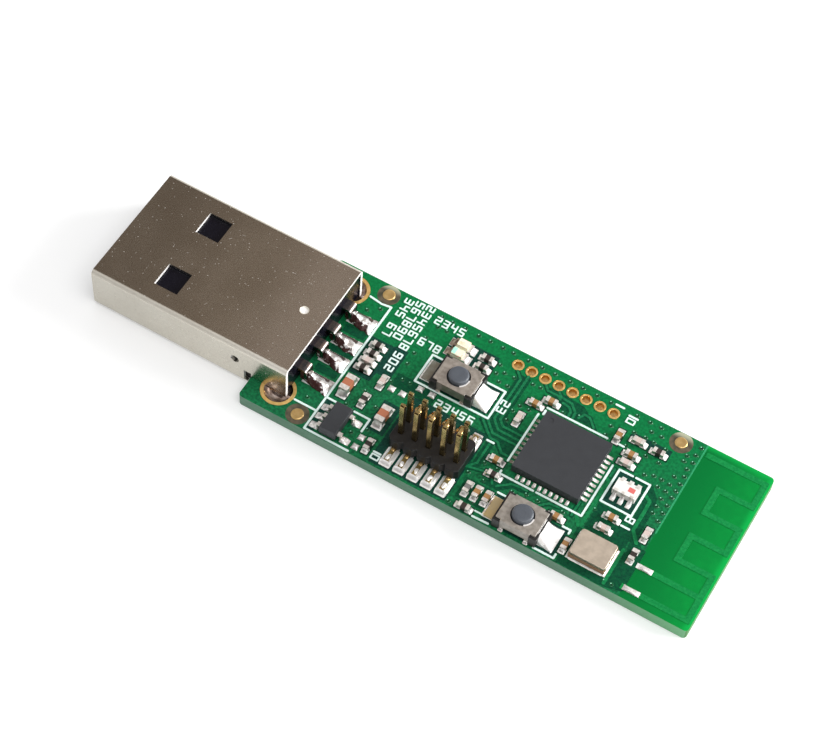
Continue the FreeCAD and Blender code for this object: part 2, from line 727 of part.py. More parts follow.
def build_switch(name, x, y):
    """A low push switch: base, cover plate, two terminals, snap dome and button."""
    long_half, deep_half = "(size.switch_long / 2)", "(size.switch_deep / 2)"
    roof = "(size.switch_tall - size.switch_sheet)"
    lip_half, lip_back = "(size.cover_lip_long / 2)", "(size.cover_deep / 2)"
    well = "(size.button_flange + size.well_gap)"
    terminals = new_body("terminals")
    for sense in ("-1", "1"):
        tab = new_sketch(terminals, "XY_Plane")
        add_rectangle(tab, (f"{sense} * ({long_half} - size.terminal_in)", "-size.terminal_wide / 2"),
                      (f"{sense} * ({long_half} + size.terminal_out)", "size.terminal_wide / 2"))
        add_feature(terminals, "Pad", tab, "size.terminal_thick")
    place(terminals, x, y, SEAT)
    base = new_body("base")
    plan = new_sketch(base, "XY_Plane")
    add_rectangle(plan, (f"-{long_half}", f"-{deep_half}"), (long_half, deep_half))
    add_feature(base, "Pad", plan, roof)
    sides = new_sketch(base, "XY_Plane")
    add_rectangle(sides, (f"-{lip_half}", lip_back), (lip_half, f"{deep_half} + size.over_cut"))
    add_rectangle(sides, (f"-{lip_half}", f"-{deep_half} - size.over_cut"), (lip_half, f"-{lip_back}"))
    add_feature(base, "Pocket", sides, back=True, through=True)
    cup = new_sketch(base, "XY_Plane", roof)
    add_circle(cup, ("0", "0"), well)
    add_feature(base, "Pocket", cup, f"{roof} - size.well_floor")
    keep(cut(f"{name}_slotted", place(base, x, y, SEAT), terminals), f"{name}_base")
    keep(terminals, f"{name}_terminals")
    build_cover(name, x, y, roof, lip_half, lip_back)
    build_dome(name, x, y)
    build_button(name, x, y)


def build_cover(name, x, y, roof, lip_half, lip_back):
    """The cover plate: a holed plate whose two long sides bend down into lips with two legs each."""
    sheet, plate_half = "size.switch_sheet", "(size.cover_long / 2)"
    cover = new_body("cover")
    plate = new_sketch(cover, "XY_Plane", roof)
    add_rectangle(plate, (f"-{plate_half}", f"-{lip_back}"), (plate_half, lip_back))
    add_circle(plate, ("0", "0"), "size.cover_hole")
    add_feature(cover, "Pad", plate, sheet)
    leg, under = "size.cover_leg", f"({roof} - size.cover_lip_tall)"
    for side in ("-", ""):
        lip = new_sketch(cover, "XZ_Plane", f"{side}({lip_back} + {sheet} / 2)")
        add_outline(lip, [
            (f"-{lip_half}", "size.switch_tall"), (f"-{lip_half}", "0"), (f"-{lip_half} + {leg}", "0"),
            (f"-{lip_half} + {leg}", under), (f"{lip_half} - {leg}", under),
            (f"{lip_half} - {leg}", "0"), (lip_half, "0"), (lip_half, "size.switch_tall"),
        ])
        add_feature(cover, "Pad", lip, sheet, both=True)
    keep(place(cover, x, y, SEAT), f"{name}_cover")


def build_dome(name, x, y):
    """The snap dome: a thin coned disc with a flat crown, standing on the floor of the well."""
    disc = new_body("disc")
    skin = new_sketch(disc, "XZ_Plane")
    rim, crown, rise, thick = "size.button_flange", "size.dome_crown", "size.dome_rise", "size.dome_thick"
    add_outline(skin, [
        (f"{rim} - {thick}", "0"), (rim, "0"), (crown, rise), ("0", rise),
        ("0", f"{rise} - {thick}"), (f"{crown} - {thick}", f"{rise} - {thick}"),
    ])
    turn_about_axis(disc, skin)
    keep(place(disc, x, y, f"{SEAT} + size.well_floor"), f"{name}_dome")


def turn_about_axis(body, sketch):
    """A full revolution of the sketch about its own upright axis."""
    turn = body.newObject("PartDesign::Revolution", "turn")
    turn.Profile = sketch
    turn.ReferenceAxis = (sketch, ["V_Axis"])
    turn.Angle = 360
    sketch.Visibility = False


def build_button(name, x, y):
    """The button: a stem with a bevelled top and a flange that the cover holds in."""
    button = new_body("button")
    half = new_sketch(button, "XZ_Plane")
    low = "(size.well_floor + size.dome_rise)"
    top = "(size.switch_tall + size.button_proud)"
    add_outline(half, [
        ("0", low), ("size.button_flange", low), ("size.button_flange", f"{low} + size.button_flange_tall"),
        ("size.button_radius", f"{low} + size.button_flange_tall"),
        ("size.button_radius", f"{top} - size.button_bevel"), ("size.button_radius - size.button_bevel", top),
        ("0", top),
    ])
    turn_about_axis(button, half)
    keep(place(button, x, y, SEAT), f"{name}_button")


def build_chip(name, long, wide, tall, cap, step):
    """A small chip part lying along X: a thinner middle between two end caps."""
    body = new_body(name)
    side = new_sketch(body, "XZ_Plane")
    half, neck = f"({long} / 2)", f"({long} / 2 - {cap})"
    add_outline(side, [
        (f"-{half}", "0"), (f"-{neck}", "0"), (f"-{neck}", step), (neck, step), (neck, "0"), (half, "0"),
        (half, tall), (neck, tall), (neck, f"{tall} - {step}"), (f"-{neck}", f"{tall} - {step}"),
        (f"-{neck}", tall), (f"-{half}", tall),
    ])
    add_feature(body, "Pad", side, wide, both=True)
    return body


def spot(place_words):
    """Expressions for a chip's place from its entry in the list."""
    from_x, along, from_y, across, turned = place_words
    x = f"({SOC_X} + {along})" if from_x == "soc" else f"{along}"
    y = {"near": f"({NEAR} + {across})", "mid": f"{across}", "far": f"({FAR} - {across})"}[from_y]
    return x, y, turned


def build_chips():
    """All small chip parts and the two larger capacitors."""
    small = ("size.chip_long", "size.chip_wide", "size.chip_tall", "size.chip_cap", "size.chip_step")
    for label, places in CHIPS:
        solids = []
        for place_words in places:
            x, y, turned = spot(place_words)
            solids.append(place(build_chip(f"{label}_solid", *small), x, y, SEAT, turned))
        keep(solids[0] if len(solids) == 1 else join(label, solids), label)
    bulk = ("size.bulk_long", "size.bulk_wide", "size.bulk_tall", "size.bulk_cap", "size.chip_step")
    for label, place_words in BULK_CHIPS:
        x, y, turned = spot(place_words)
        keep(place(build_chip(label, *bulk), x, y, SEAT, turned), label)


def build_leds():
    """Two light diodes: a flat base with a drafted clear lens on it."""
    for label, across in (("led_green", "size.led_green_place"), ("led_red", "size.led_red_place")):
        body = new_body(label)
        base = new_sketch(body, "XY_Plane")
        add_rectangle(base, ("-size.bulk_long / 2", "-size.bulk_wide / 2"), ("size.bulk_long / 2", "size.bulk_wide / 2"))
        add_feature(body, "Pad", base, "size.led_base_tall")
        lens = new_sketch(body, "XY_Plane", "size.led_base_tall")
        add_rectangle(lens, ("-size.led_lens_long / 2", "-size.led_lens_wide / 2"),
                      ("size.led_lens_long / 2", "size.led_lens_wide / 2"))
        pad = add_feature(body, "Pad", lens, "size.led_lens_tall")
        pad.setExpression("TaperAngle", "-size.led_lens_draft")
        keep(place(body, "size.led_place_x", f"({FAR} - {across})", SEAT), label)


def build_crystal_and_balun():
    """The crystal, a ceramic tray under a metal lid, and the balun with six castellations."""
    x, y = f"({SOC_X} + size.crystal_place_x)", f"({NEAR} + size.crystal_place_y)"
    half, deep, rim = "(size.crystal_long / 2)", "(size.crystal_deep / 2)", "size.crystal_rim"
    tray = new_body("tray")
    plan = new_sketch(tray, "XY_Plane")
    add_rectangle(plan, (f"-{half}", f"-{deep}"), (half, deep))
    add_feature(tray, "Pad", plan, "size.crystal_base_tall")
    keep(place(tray, x, y, SEAT), "crystal_base")
    can = new_body("can")
    lid = new_sketch(can, "XY_Plane", "size.crystal_base_tall")
    add_rectangle(lid, (f"-{half} + {rim}", f"-{deep} + {rim}"), (f"{half} - {rim}", f"{deep} - {rim}"),
                  "size.crystal_corner")
    add_feature(can, "Pad", lid, "size.crystal_can_tall")
    keep(place(can, x, y, SEAT), "crystal_can")
    body = new_body("balun_chip")
    outline = new_sketch(body, "XY_Plane")
    add_rectangle(outline, ("-size.balun_long / 2", "-size.balun_deep / 2"),
                  ("size.balun_long / 2", "size.balun_deep / 2"))
    add_feature(body, "Pad", outline, "size.balun_tall")
    notches = new_sketch(body, "XY_Plane")
    span = "(size.balun_pitch * (size.balun_columns - 1))"
    for side in ("-", ""):
        edge = f"{side}size.balun_deep / 2"
        add_rectangle(notches, (f"-{span} / 2 - size.balun_notch", f"{edge} - size.balun_notch"),
                      (f"-{span} / 2 + size.balun_notch", f"{edge} + size.balun_notch"))
    pocket = add_feature(body, "Pocket", notches, back=True, through=True)
    doc.recompute()
    add_row(body, [pocket], notches, "H_Axis", span, "size.balun_columns")
    keep(place(body, f"({SOC_X} + size.balun_place_x)", "size.balun_place_y", SEAT), "balun")


def build_antenna():
    """The printed antenna: one copper track that folds back and forth, and its feed."""
    wide, pitch = "size.trace_wide", "size.fold_pitch"
    right = f"({ANTENNA_X} + size.antenna_long - {wide} / 2)"
    left = f"({right} - size.fold_long)"
    top = f"({FAR} - size.antenna_inset - {wide} / 2)"
    bottom = f"({NEAR} + size.antenna_inset + {wide} / 2)"
    rows = [f"({top} - {pitch} * {step})" for step in range(FOLD_ROWS)]
    runs = [((ANTENNA_X, bottom), (right, bottom)), ((right, bottom), (right, rows[-1])),
            ((f"({ANTENNA_X} + {wide})", rows[0]), (right, rows[0])),
            ((f"({ANTENNA_X} + size.antenna_land)", f"({bottom} + size.feed_pitch)"),
             (right, f"({bottom} + size.feed_pitch)"))]
    for step in range(FOLD_ROWS - 1):
        side = right if step % 2 == 0 else left
        runs.append(((side, rows[step + 1]), (side, rows[step])))
    for step in range(1, FOLD_ROWS):
        runs.append(((left, rows[step]), (right, rows[step])))
    half = f"({wide} / 2)"
    tracks = []
    for start, end in runs:
        tracks.append(new_block("track", (f"{EDGE_X} + {start[0]} - {half}", f"{start[1]} - {half}", "size.board_thick"),
                                (f"{EDGE_X} + {end[0]} + {half}", f"{end[1]} + {half}", SEAT)))
    keep(join("folded_track", tracks, fuse=True), "antenna_trace")


def land(x, y, long, wide):
    """One flat solder land centred on a place on the board."""
    return new_block("land", (f"{EDGE_X} + {x} - ({long}) / 2", f"{y} - ({wide}) / 2", "size.board_thick"),
                     (f"{EDGE_X} + {x} + ({long}) / 2", f"{y} + ({wide}) / 2", SEAT))


def pair_of_lands(x, y, out, long, wide, turned):
    """Two lands, one under each end of a part."""
    lands = []
    for sense in ("-", "+"):
        if turned:
            lands.append(land(x, f"({y} {sense} {out})", wide, long))
        else:
            lands.append(land(f"({x} {sense} {out})", y, long, wide))
    return lands


def build_lands():
    """Every tinned or gilt land on the board's top, and the alignment marks."""
    lands = []
    for spread in ("-size.power_spread", "-size.data_spread", "size.data_spread", "size.power_spread"):
        lands.append(land(f"({TAIL_X} + size.tail_foot - size.tail_land_long / 3)", f"{spread} / 2",
                          "size.tail_land_long", "size.tail_land_wide"))
    row_y = f"({NEAR} + size.header_place_y)"
    reach = "(size.foot_reach + size.header_land_out - size.header_land_long / 2)"
    for column in range(SIZES["header_columns"]):
        x = f"(size.header_place_x + ({column} - (size.header_columns - 1) / 2) * size.header_pitch)"
        for sense in ("-", "+"):
            lands.append(land(x, f"({row_y} {sense} {reach})", "size.header_land_wide", "size.header_land_long"))
    x, y = "size.regulator_place_x", f"({NEAR} + size.regulator_place_y)"
    toe = "(size.regulator_deep / 2 + size.regulator_lead_reach)"
    for sense, steps in (("-", (-1, 0, 1)), ("+", (-1, 1))):
        for step in steps:
            lands.append(land(f"({x} {sense} {toe})", f"({y} + {step} * size.regulator_lead_pitch)",
                              "size.regulator_land_long", "size.regulator_land_wide"))
    for x, y in (("size.reset_place_x", RESET_Y), (USER_X, f"({NEAR} + size.user_place_y)")):
        lands += pair_of_lands(x, y, "(size.switch_long / 2 + size.terminal_out - size.terminal_land_in)",
                               "size.terminal_land_long", "size.terminal_land_wide", False)
    for across in ("size.led_green_place", "size.led_red_place"):
        lands += pair_of_lands("size.led_place_x", f"({FAR} - {across})", "(size.bulk_long / 2)",
                               "size.led_land_long", "size.bulk_wide", False)
    for label, places in CHIPS:
        for place_words in places:
            x, y, turned = spot(place_words)
            lands += pair_of_lands(x, y, "(size.chip_long / 2)", "size.chip_land_long", "size.chip_land_wide", turned)
    for label, place_words in BULK_CHIPS:
        x, y, turned = spot(place_words)
        lands += pair_of_lands(x, y, "(size.bulk_long / 2)", "size.bulk_land_long", "size.bulk_land_wide", turned)
    x, y = f"({SOC_X} + size.crystal_place_x)", f"({NEAR} + size.crystal_place_y)"
    for sense in ("-", "+"):
        lands += pair_of_lands(x, f"({y} {sense} (size.crystal_deep / 2 - size.crystal_land_in))",
                               "(size.crystal_long / 2 - size.crystal_land_in)",
                               "size.crystal_land_long", "size.crystal_land_deep", False)
    for column in range(SIZES["balun_columns"]):
        x = f"({SOC_X} + size.balun_place_x + ({column} - (size.balun_columns - 1) / 2) * size.balun_pitch)"
        lands += pair_of_lands(x, "size.balun_place_y",
                               "(size.balun_deep / 2 + size.balun_land_out)",
                               "size.balun_land_long", "size.balun_land_wide", True)
    for x, y in SPARE_LANDS:
        lands.append(land(f"{x}", f"{y}", "size.spare_land", "size.spare_land"))
    bottom = f"({NEAR} + size.antenna_inset + size.trace_wide / 2)"
    for y in (bottom, f"({bottom} + size.feed_pitch)"):
        lands.append(land(f"({ANTENNA_X} + size.antenna_land / 2 - size.trace_wide / 2)", y,
                          "size.antenna_land - size.trace_wide", "size.trace_wide - 0.05"))
    for x, side in MARKS:
        y = f"({NEAR} + size.mark_place)" if side == "near" else f"({FAR} - size.mark_place)"
        lands.append(new_drum("mark", (f"{EDGE_X} + {x}", y), "size.mark_radius", "size.board_thick", SEAT))
    keep(join("lands", lands), "solder_lands")


def check_and_export():
    """Stop if any object failed, then write each piece to its own file."""
    doc.recompute()
    for thing in doc.Objects:
        bad = [word for word in thing.State if word in ("Invalid", "Error")]
        if bad:
            raise RuntimeError(f"{thing.Name} ({thing.Label}) is {bad}")
    os.makedirs("parts", exist_ok=True)
    for piece in nodes:
        shape = piece.Shape
        if shape.isNull() or not shape.isValid() or not shape.Solids:
            raise RuntimeError(f"{piece.Label} has no valid solid")
    for piece in nodes:
        piece.Shape.exportStep(f"parts/{piece.Label}.step")
        print(f"{piece.Label}: {len(piece.Shape.Solids)} solids, {piece.Shape.Volume:.4f} mm3")


fill_sheet()
build_board()
build_plating()
build_shell()
strips = build_contacts()
build_insulator(strips)
build_plug_solder(strips)
build_header()
build_soc()
build_regulator()
build_switch("reset_switch", "size.reset_place_x", RESET_Y)
build_switch("user_switch", USER_X, f"({NEAR} + size.user_place_y)")
build_chips()
build_leds()
build_crystal_and_balun()
build_antenna()
build_lands()
check_and_export()
print(len(nodes), "pieces")
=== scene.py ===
"""Looks of a small radio stick: a green circuit board with a plug at one end.

Sizes are in millimetres on the board unless a comment says otherwise: x runs from
the board's plug end, y from its middle line and z from its top face.
"""

import json
import logging
import math
from collections.abc import Sequence
from dataclasses import dataclass
from enum import Enum
from typing import ClassVar

import bpy
import numpy as np
from mathutils import Matrix, Vector, noise

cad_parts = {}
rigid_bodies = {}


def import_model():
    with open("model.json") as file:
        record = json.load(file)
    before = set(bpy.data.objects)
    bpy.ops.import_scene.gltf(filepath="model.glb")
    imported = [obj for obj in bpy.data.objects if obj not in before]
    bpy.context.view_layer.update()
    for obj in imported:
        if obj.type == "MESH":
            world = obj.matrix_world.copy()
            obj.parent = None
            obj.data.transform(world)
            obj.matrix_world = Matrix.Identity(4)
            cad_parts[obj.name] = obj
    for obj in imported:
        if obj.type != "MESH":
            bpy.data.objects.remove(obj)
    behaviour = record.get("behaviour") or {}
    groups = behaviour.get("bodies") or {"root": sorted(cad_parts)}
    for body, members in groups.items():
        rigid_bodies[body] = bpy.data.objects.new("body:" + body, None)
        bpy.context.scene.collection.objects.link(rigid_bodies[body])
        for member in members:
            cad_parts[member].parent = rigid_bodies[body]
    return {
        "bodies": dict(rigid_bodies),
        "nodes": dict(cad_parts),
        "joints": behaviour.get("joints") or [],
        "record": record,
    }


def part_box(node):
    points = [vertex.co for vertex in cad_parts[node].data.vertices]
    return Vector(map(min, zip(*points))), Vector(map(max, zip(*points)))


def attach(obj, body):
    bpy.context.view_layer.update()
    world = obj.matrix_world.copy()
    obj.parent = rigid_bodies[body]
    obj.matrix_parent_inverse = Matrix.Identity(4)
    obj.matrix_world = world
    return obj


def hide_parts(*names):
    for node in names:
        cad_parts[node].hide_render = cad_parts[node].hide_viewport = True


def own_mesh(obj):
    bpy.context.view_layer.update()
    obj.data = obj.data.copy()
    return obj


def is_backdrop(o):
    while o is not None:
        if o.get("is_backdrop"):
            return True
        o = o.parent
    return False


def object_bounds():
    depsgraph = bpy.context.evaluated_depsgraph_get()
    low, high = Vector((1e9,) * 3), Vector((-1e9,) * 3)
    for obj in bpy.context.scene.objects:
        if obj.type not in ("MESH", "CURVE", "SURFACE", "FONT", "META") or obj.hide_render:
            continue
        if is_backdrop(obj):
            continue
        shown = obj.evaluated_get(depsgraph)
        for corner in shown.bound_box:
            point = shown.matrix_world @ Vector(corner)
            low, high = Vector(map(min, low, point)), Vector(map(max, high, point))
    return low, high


log = logging.getLogger("radio_stick")
Number = float | int
Point = tuple[float, float]
Place = tuple[float, float, float]
Colour = tuple[float, float, float]
Inputs = dict[str | int, object]
Box = tuple[Vector, Vector]
MM = 0.001
BODY = "stick"
# Thin plates on the board take turns at this many heights, so that no two share a plane.
LAYERS = 16
LAYER_STEP = 0.0006
# Heights of the solder over the board: its foot, its thinnest edge and the top of a land.
SUNK = 0.03
LEAST = 0.032
LAND_TOP = 0.034
# Points of a carried-over mesh that lie closer than this are one, also to so many decimals of a metre.
WELD = 0.001
DECIMALS = 7
# Steps of a line's round end and of a plate's round corner.
END_STEPS = 6
CORNER_STEPS = 5


class Wire:
    """A shader socket whose arithmetic adds Math nodes."""

    def __init__(self, graph: "Graph", socket: bpy.types.NodeSocket) -> None:
        """Keeps the graph and the socket."""
        self.graph = graph
        self.socket = socket

    def _math(self, operation: str, *values: "Wire | Number") -> "Wire":
        """Adds one Math node with its operands in order and returns its value."""
        return self.graph.wire("ShaderNodeMath", {"operation": operation}, dict(enumerate(values)))

    def __add__(self, other: "Wire | Number") -> "Wire":
        """Returns the sum."""
        return self._math("ADD", self, other)

    def __radd__(self, other: Number) -> "Wire":
        """Returns the sum."""
        return self._math("ADD", other, self)

    def __sub__(self, other: "Wire | Number") -> "Wire":
        """Returns the difference."""
        return self._math("SUBTRACT", self, other)

    def __rsub__(self, other: Number) -> "Wire":
        """Returns the difference."""
        return self._math("SUBTRACT", other, self)

    def __mul__(self, other: "Wire | Number") -> "Wire":
        """Returns the product."""
        return self._math("MULTIPLY", self, other)

    def __rmul__(self, other: Number) -> "Wire":
        """Returns the product."""
        return self._math("MULTIPLY", other, self)

    def above(self, limit: Number, soft: float = 0.0) -> "Wire":
        """A mask of where the value is over a limit.

        Args:
            limit: The value at which the mask changes.
            soft: Half the width of the change, 0 for a sharp one.

        Returns:
            A value from 0 to 1.
        """
        if soft <= 0.0:
            return self._math("GREATER_THAN", self, limit)
        settings = {"interpolation_type": "SMOOTHSTEP"}
        ends = {"Value": self, "From Min": limit - soft, "From Max": limit + soft}
        return self.graph.wire("ShaderNodeMapRange", settings, ends)

    def below(self, limit: Number, soft: float = 0.0) -> "Wire":
        """Returns the mask that `above` leaves."""
        return 1 - self.above(limit, soft)

    def larger(self, other: "Wire | Number") -> "Wire":
        """Returns the larger of two values."""
        return self._math("MAXIMUM", self, other)

    def size(self) -> "Wire":
        """Returns the value without its sign."""
        return self._math("ABSOLUTE", self)


class Graph:
    """The node tree of one material or of the world."""

    def __init__(self, owner: bpy.types.Material | bpy.types.World) -> None:
        """Empties the owner's node tree.

        Args:
            owner: The material or world to fill.
        """
        owner.use_nodes = True
        self.tree = owner.node_tree
        self.tree.nodes.clear()

    def node(
        self, kind: str, settings: Inputs | None = None, inputs: Inputs | None = None
    ) -> bpy.types.Node:
        """Adds any node.

        Args:
            kind: The node's type.
            settings: Its properties, set first.
            inputs: Values or wires by socket name or number.

        Returns:
            The node.
        """
        made = self.tree.nodes.new(kind)
        for name, value in (settings or {}).items():
            setattr(made, name, value)
        for name, value in (inputs or {}).items():
            socket = made.inputs[name]
            if isinstance(value, Wire):
                self.tree.links.new(value.socket, socket)
            elif isinstance(value, tuple) and socket.type == "RGBA":
                socket.default_value = (*value, 1.0)
            else:
                socket.default_value = value
        return made

    def wire(
        self,
        kind: str,
        settings: Inputs | None = None,
        inputs: Inputs | None = None,
        output: str | int = 0,
    ) -> Wire:
        """Adds any node and returns one of its outputs, by name or number."""
        return Wire(self, self.node(kind, settings, inputs).outputs[output])

    def place(self) -> Wire:
        """Returns the point on the object in millimetres of the frame."""
        point = self.wire("ShaderNodeTexCoord", output="Object")
        return self.wire("ShaderNodeVectorMath", {"operation": "SCALE"}, {0: point, "Scale": 1 / MM})

    def stretched(self, vector: Wire, scale: Place) -> Wire:
        """Returns a vector multiplied axis by axis."""
        return self.wire("ShaderNodeVectorMath", {"operation": "MULTIPLY"}, {0: vector, 1: scale})

    def away(self, spot: Point) -> Wire:
        """Returns how far the point on the object is from an upright line at a spot of the frame."""
        ends = {0: self.stretched(self.place(), (1.0, 1.0, 0.0)), 1: (*spot, 0.0)}
        return self.wire("ShaderNodeVectorMath", {"operation": "DISTANCE"}, ends, "Value")

    def parts(self, vector: Wire) -> tuple[Wire, Wire, Wire]:
        """Returns a vector's x, y and z."""
        made = self.node("ShaderNodeSeparateXYZ", None, {0: vector})
        x, y, z = (Wire(self, output) for output in made.outputs)
        return x, y, z

    def facing(self) -> tuple[Wire, Wire, Wire]:
        """Returns the x, y and z of the surface's own direction."""
        return self.parts(self.wire("ShaderNodeNewGeometry", output="Normal"))

    def mottle(self, scale: float, detail: float = 3.0, vector: Wire | None = None) -> Wire:
        """Returns cloudy noise from 0 to 1, on the object unless another vector is given."""
        inputs = {"Vector": vector or self.place(), "Scale": scale, "Detail": detail}
        return self.wire("ShaderNodeTexNoise", None, inputs, "Fac")

    def cells(self, scale: float) -> Wire:
        """Returns a random value for each cell of a fine crystal pattern."""
        inputs = {"Vector": self.place(), "Scale": scale}
        return self.parts(self.wire("ShaderNodeTexVoronoi", None, inputs, "Color"))[0]

    def blend(self, share: Wire | Number, first: Wire | Colour, second: Wire | Colour) -> Wire:
        """Returns a colour between the first, at a share of 0, and the second, at 1."""
        return self.wire("ShaderNodeMix", {"data_type": "RGBA"}, {0: share, 6: first, 7: second}, 2)

    def bump(self, height: Wire, depth: float, strength: float) -> Wire:
        """Returns the normal of a height from 0 to 1, where 1 stands for a depth in millimetres."""
        inputs = {"Height": height, "Distance": depth * MM, "Strength": strength}
        return self.wire("ShaderNodeBump", None, inputs, "Normal")

    def surface(self, colour: Wire | Colour, rough: Wire | Number, more: Inputs) -> None:
        """Closes the material with a principled surface.

        Args:
            colour: Its base colour.
            rough: Its roughness.
            more: Its other values or wires by socket name.
        """
        inputs = {"Base Color": colour, "Roughness": rough, **more}
        shader = self.wire("ShaderNodeBsdfPrincipled", None, inputs)
        self.node("ShaderNodeOutputMaterial", None, {"Surface": shader})


class Finish:
    """A finish that makes its material once."""

    name: str

    def build(self, graph: Graph) -> None:
        """Fills the material's node tree."""
        raise NotImplementedError

    def material(self) -> bpy.types.Material:
        """Returns the finish's material."""
        found = bpy.data.materials.get(self.name)
        if found is None:
            found = bpy.data.materials.new(self.name)
            self.build(Graph(found))
        return found


@dataclass(frozen=True)
class Metal(Finish):
    """Bare or plated metal with stains and a fine grain; frost is what level faces lose of its mirror."""

    name: str
    colour: Colour
    stain: Colour
    rough: float = 0.25
    rough_spread: float = 0.12
    stain_scale: float = 1.5
    stain_share: float = 0.6
    grain_scale: float = 14.0
    grain_depth: float = 0.004
    frost: float = 0.0
    steep: float = 1.0
    # Share of colour left on steep faces; below 1 it paints shade on them.
    wall_shade_tone: float = 1.0
    # Faces past this x take end_shade, a painted shade colour.
    end_shade_from: float = 99.0
    end_shade: Colour = (0.85, 0.83, 0.8)
    end_shade_soft: float = 0.15
    stain_soft: float = 0.18
    level_from: float = 0.8
    level_soft: float = 0.17
    grain_strength: float = 0.6

    def build(self, graph: Graph) -> None:
        """Fills the material's node tree.

        Args:
            graph: The material's graph.
        """
        clouds = graph.mottle(self.stain_scale, 4.0)
        stained = clouds.above(0.5, self.stain_soft) * self.stain_share
        # Painted shade colour past a given x.
        end = graph.parts(graph.place())[0].above(self.end_shade_from, self.end_shade_soft)
        colour = graph.blend(stained, graph.blend(end, self.colour, self.end_shade), self.stain)
        grain = graph.mottle(self.grain_scale, 4.0)
        rough = self.rough - self.rough_spread / 2 + grain * self.rough_spread
        level = graph.facing()[2].above(self.level_from, self.level_soft)
        # Painted shade: steep faces darkened by wall_shade_tone.
        dark = tuple(part * self.wall_shade_tone for part in self.colour)
        colour = graph.blend(level, graph.blend(1 - self.wall_shade_tone, colour, dark), colour)
        metallic = self.steep - level * self.frost
        relief = graph.bump(grain, self.grain_depth, self.grain_strength)
        graph.surface(colour, rough, {"Metallic": metallic, "Normal": relief})


@dataclass(frozen=True)
class Plating(Finish):
    """The plug shell's stained and grimy plating: painted shade towards the plug's tip, painted light at
    the rear and the folds, a painted reflection on the walls, and painted highlights on the ends facing +x
    and in the round dent.
    """

    name: str = "shell_nickel"
    colour: Colour = (0.55, 0.52, 0.44)
    stain: Colour = (0.45, 0.415, 0.34)
    grime: Colour = (0.36, 0.33, 0.27)
    # Painted highlight on the faces turned to +x, where the key lamp stands.
    cut_highlight: Colour = (0.93, 0.9, 0.88)
    # Painted light on the bent faces of the folds.
    fold_light: Colour = (0.86, 0.82, 0.74)
    # Painted reflection: the upright walls are lightened as if they mirrored the pale floor.
    side: Colour = (0.84, 0.81, 0.74)
    # Painted shade: the plating darkens towards the shell's tip.
    front_shade: Colour = (0.03, 0.03, 0.03)
    front_shade_x: float = -21.0
    front_shade_reach: float = 5.0
    # Painted light: the plating's level faces lighten towards the shell's rear.
    back: Colour = (0.95, 0.92, 0.86)
    back_light_x: float = -13.5
    back_light_reach: float = 3.0
    speck: Colour = (0.95, 0.93, 0.9)
    speck_share: float = 0.0035
    speck_scale: float = 17.0
    # Painted highlight in the round dent on the shell's top.
    dimple_highlight: Point = (-11.315, 0.0)
    dimple_highlight_reach: float = 0.27
    dimple_highlight_soft: float = 0.04
    cloud_scale: float = 0.35
    fine_scale: float = 5.0

    def build(self, graph: Graph) -> None:
        """Fills the material's node tree.

        Args:
            graph: The material's graph.
        """
        x, _, _ = graph.parts(graph.place())
        onward, _, up = graph.facing()
        # The bent faces: lighter in colour as painted light, and also rougher and less metallic.
        fold = up.above(0.35, 0.2) * up.below(0.94, 0.05)
        wall = up.size().below(0.3)
        fine = graph.mottle(self.fine_scale, 6.0)
        clouds = graph.mottle(self.cloud_scale, 4.0).above(0.5, 0.2)
        colour = graph.blend(clouds * 0.7, self.colour, self.stain)
        colour = graph.blend(fine.above(0.52, 0.12) * 0.32, colour, self.grime)
        # Painted shade towards the shell's tip.
        colour = graph.blend(x.below(self.front_shade_x, self.front_shade_reach) * 0.18, colour, self.front_shade)
        # Painted light towards the rear, on faces that are not walls.
        back = x.above(self.back_light_x, self.back_light_reach) * (1 - wall)
        colour = graph.blend(back * 0.3, colour, self.back)
        # Painted reflection lightens the walls; painted light lightens the folds.
        colour = graph.blend(wall * 0.32, graph.blend(fold * 0.5, colour, self.fold_light), self.side)
        speck = graph.cells(self.speck_scale).above(1 - self.speck_share)
        colour = graph.blend(speck * 0.6, colour, self.speck)
        dimple_highlight = graph.away(self.dimple_highlight).below(self.dimple_highlight_reach, self.dimple_highlight_soft)
        # Painted highlights: faces turned to +x and the round dent show near white.
        bright = onward.above(0.9).larger(dimple_highlight)
        colour = graph.blend(bright, colour, self.cut_highlight)
        rough = 0.2 + fine * 0.12 + speck * 0.3 + fold * 0.3
        metallic = (1 - bright) * (1 - fold * 0.3)
        graph.surface(colour, rough, {"Metallic": metallic, "Normal": graph.bump(fine, 0.004, 0.6)})


@dataclass(frozen=True)
class ShadedSolder(Finish):
    """Bright solder whose slopes facing -y carry painted shade: dark brown, with small painted glints."""

    name: str = "shaded_solder"
    bright: Colour = (0.88, 0.86, 0.84)
    dull: Colour = (0.5, 0.46, 0.44)
    near_shade: Colour = (0.06, 0.022, 0.02)

    def build(self, graph: Graph) -> None:
        """Fills the material's node tree.

        Args:
            graph: The material's graph.
        """
        clouds = graph.mottle(1.8, 4.0)
        _, toward, _ = graph.facing()
        # A mask of the slopes facing -y, which get painted shade.
        near_shade_mask = (toward + (clouds - 0.5) * 0.9).below(-0.42, 0.08)
        body = graph.blend(clouds.above(0.52, 0.12) * 0.7, self.bright, self.dull)
        # The painted shade colour, with small painted glints in it.
        brown = graph.blend(graph.cells(6.0).above(0.9) * 0.7, self.near_shade, self.bright)
        more = {"Metallic": 0.72 - near_shade_mask * 0.5, "Normal": graph.bump(clouds, 0.05, 0.7)}
        graph.surface(graph.blend(near_shade_mask, body, brown), 0.2 + clouds * 0.14, more)


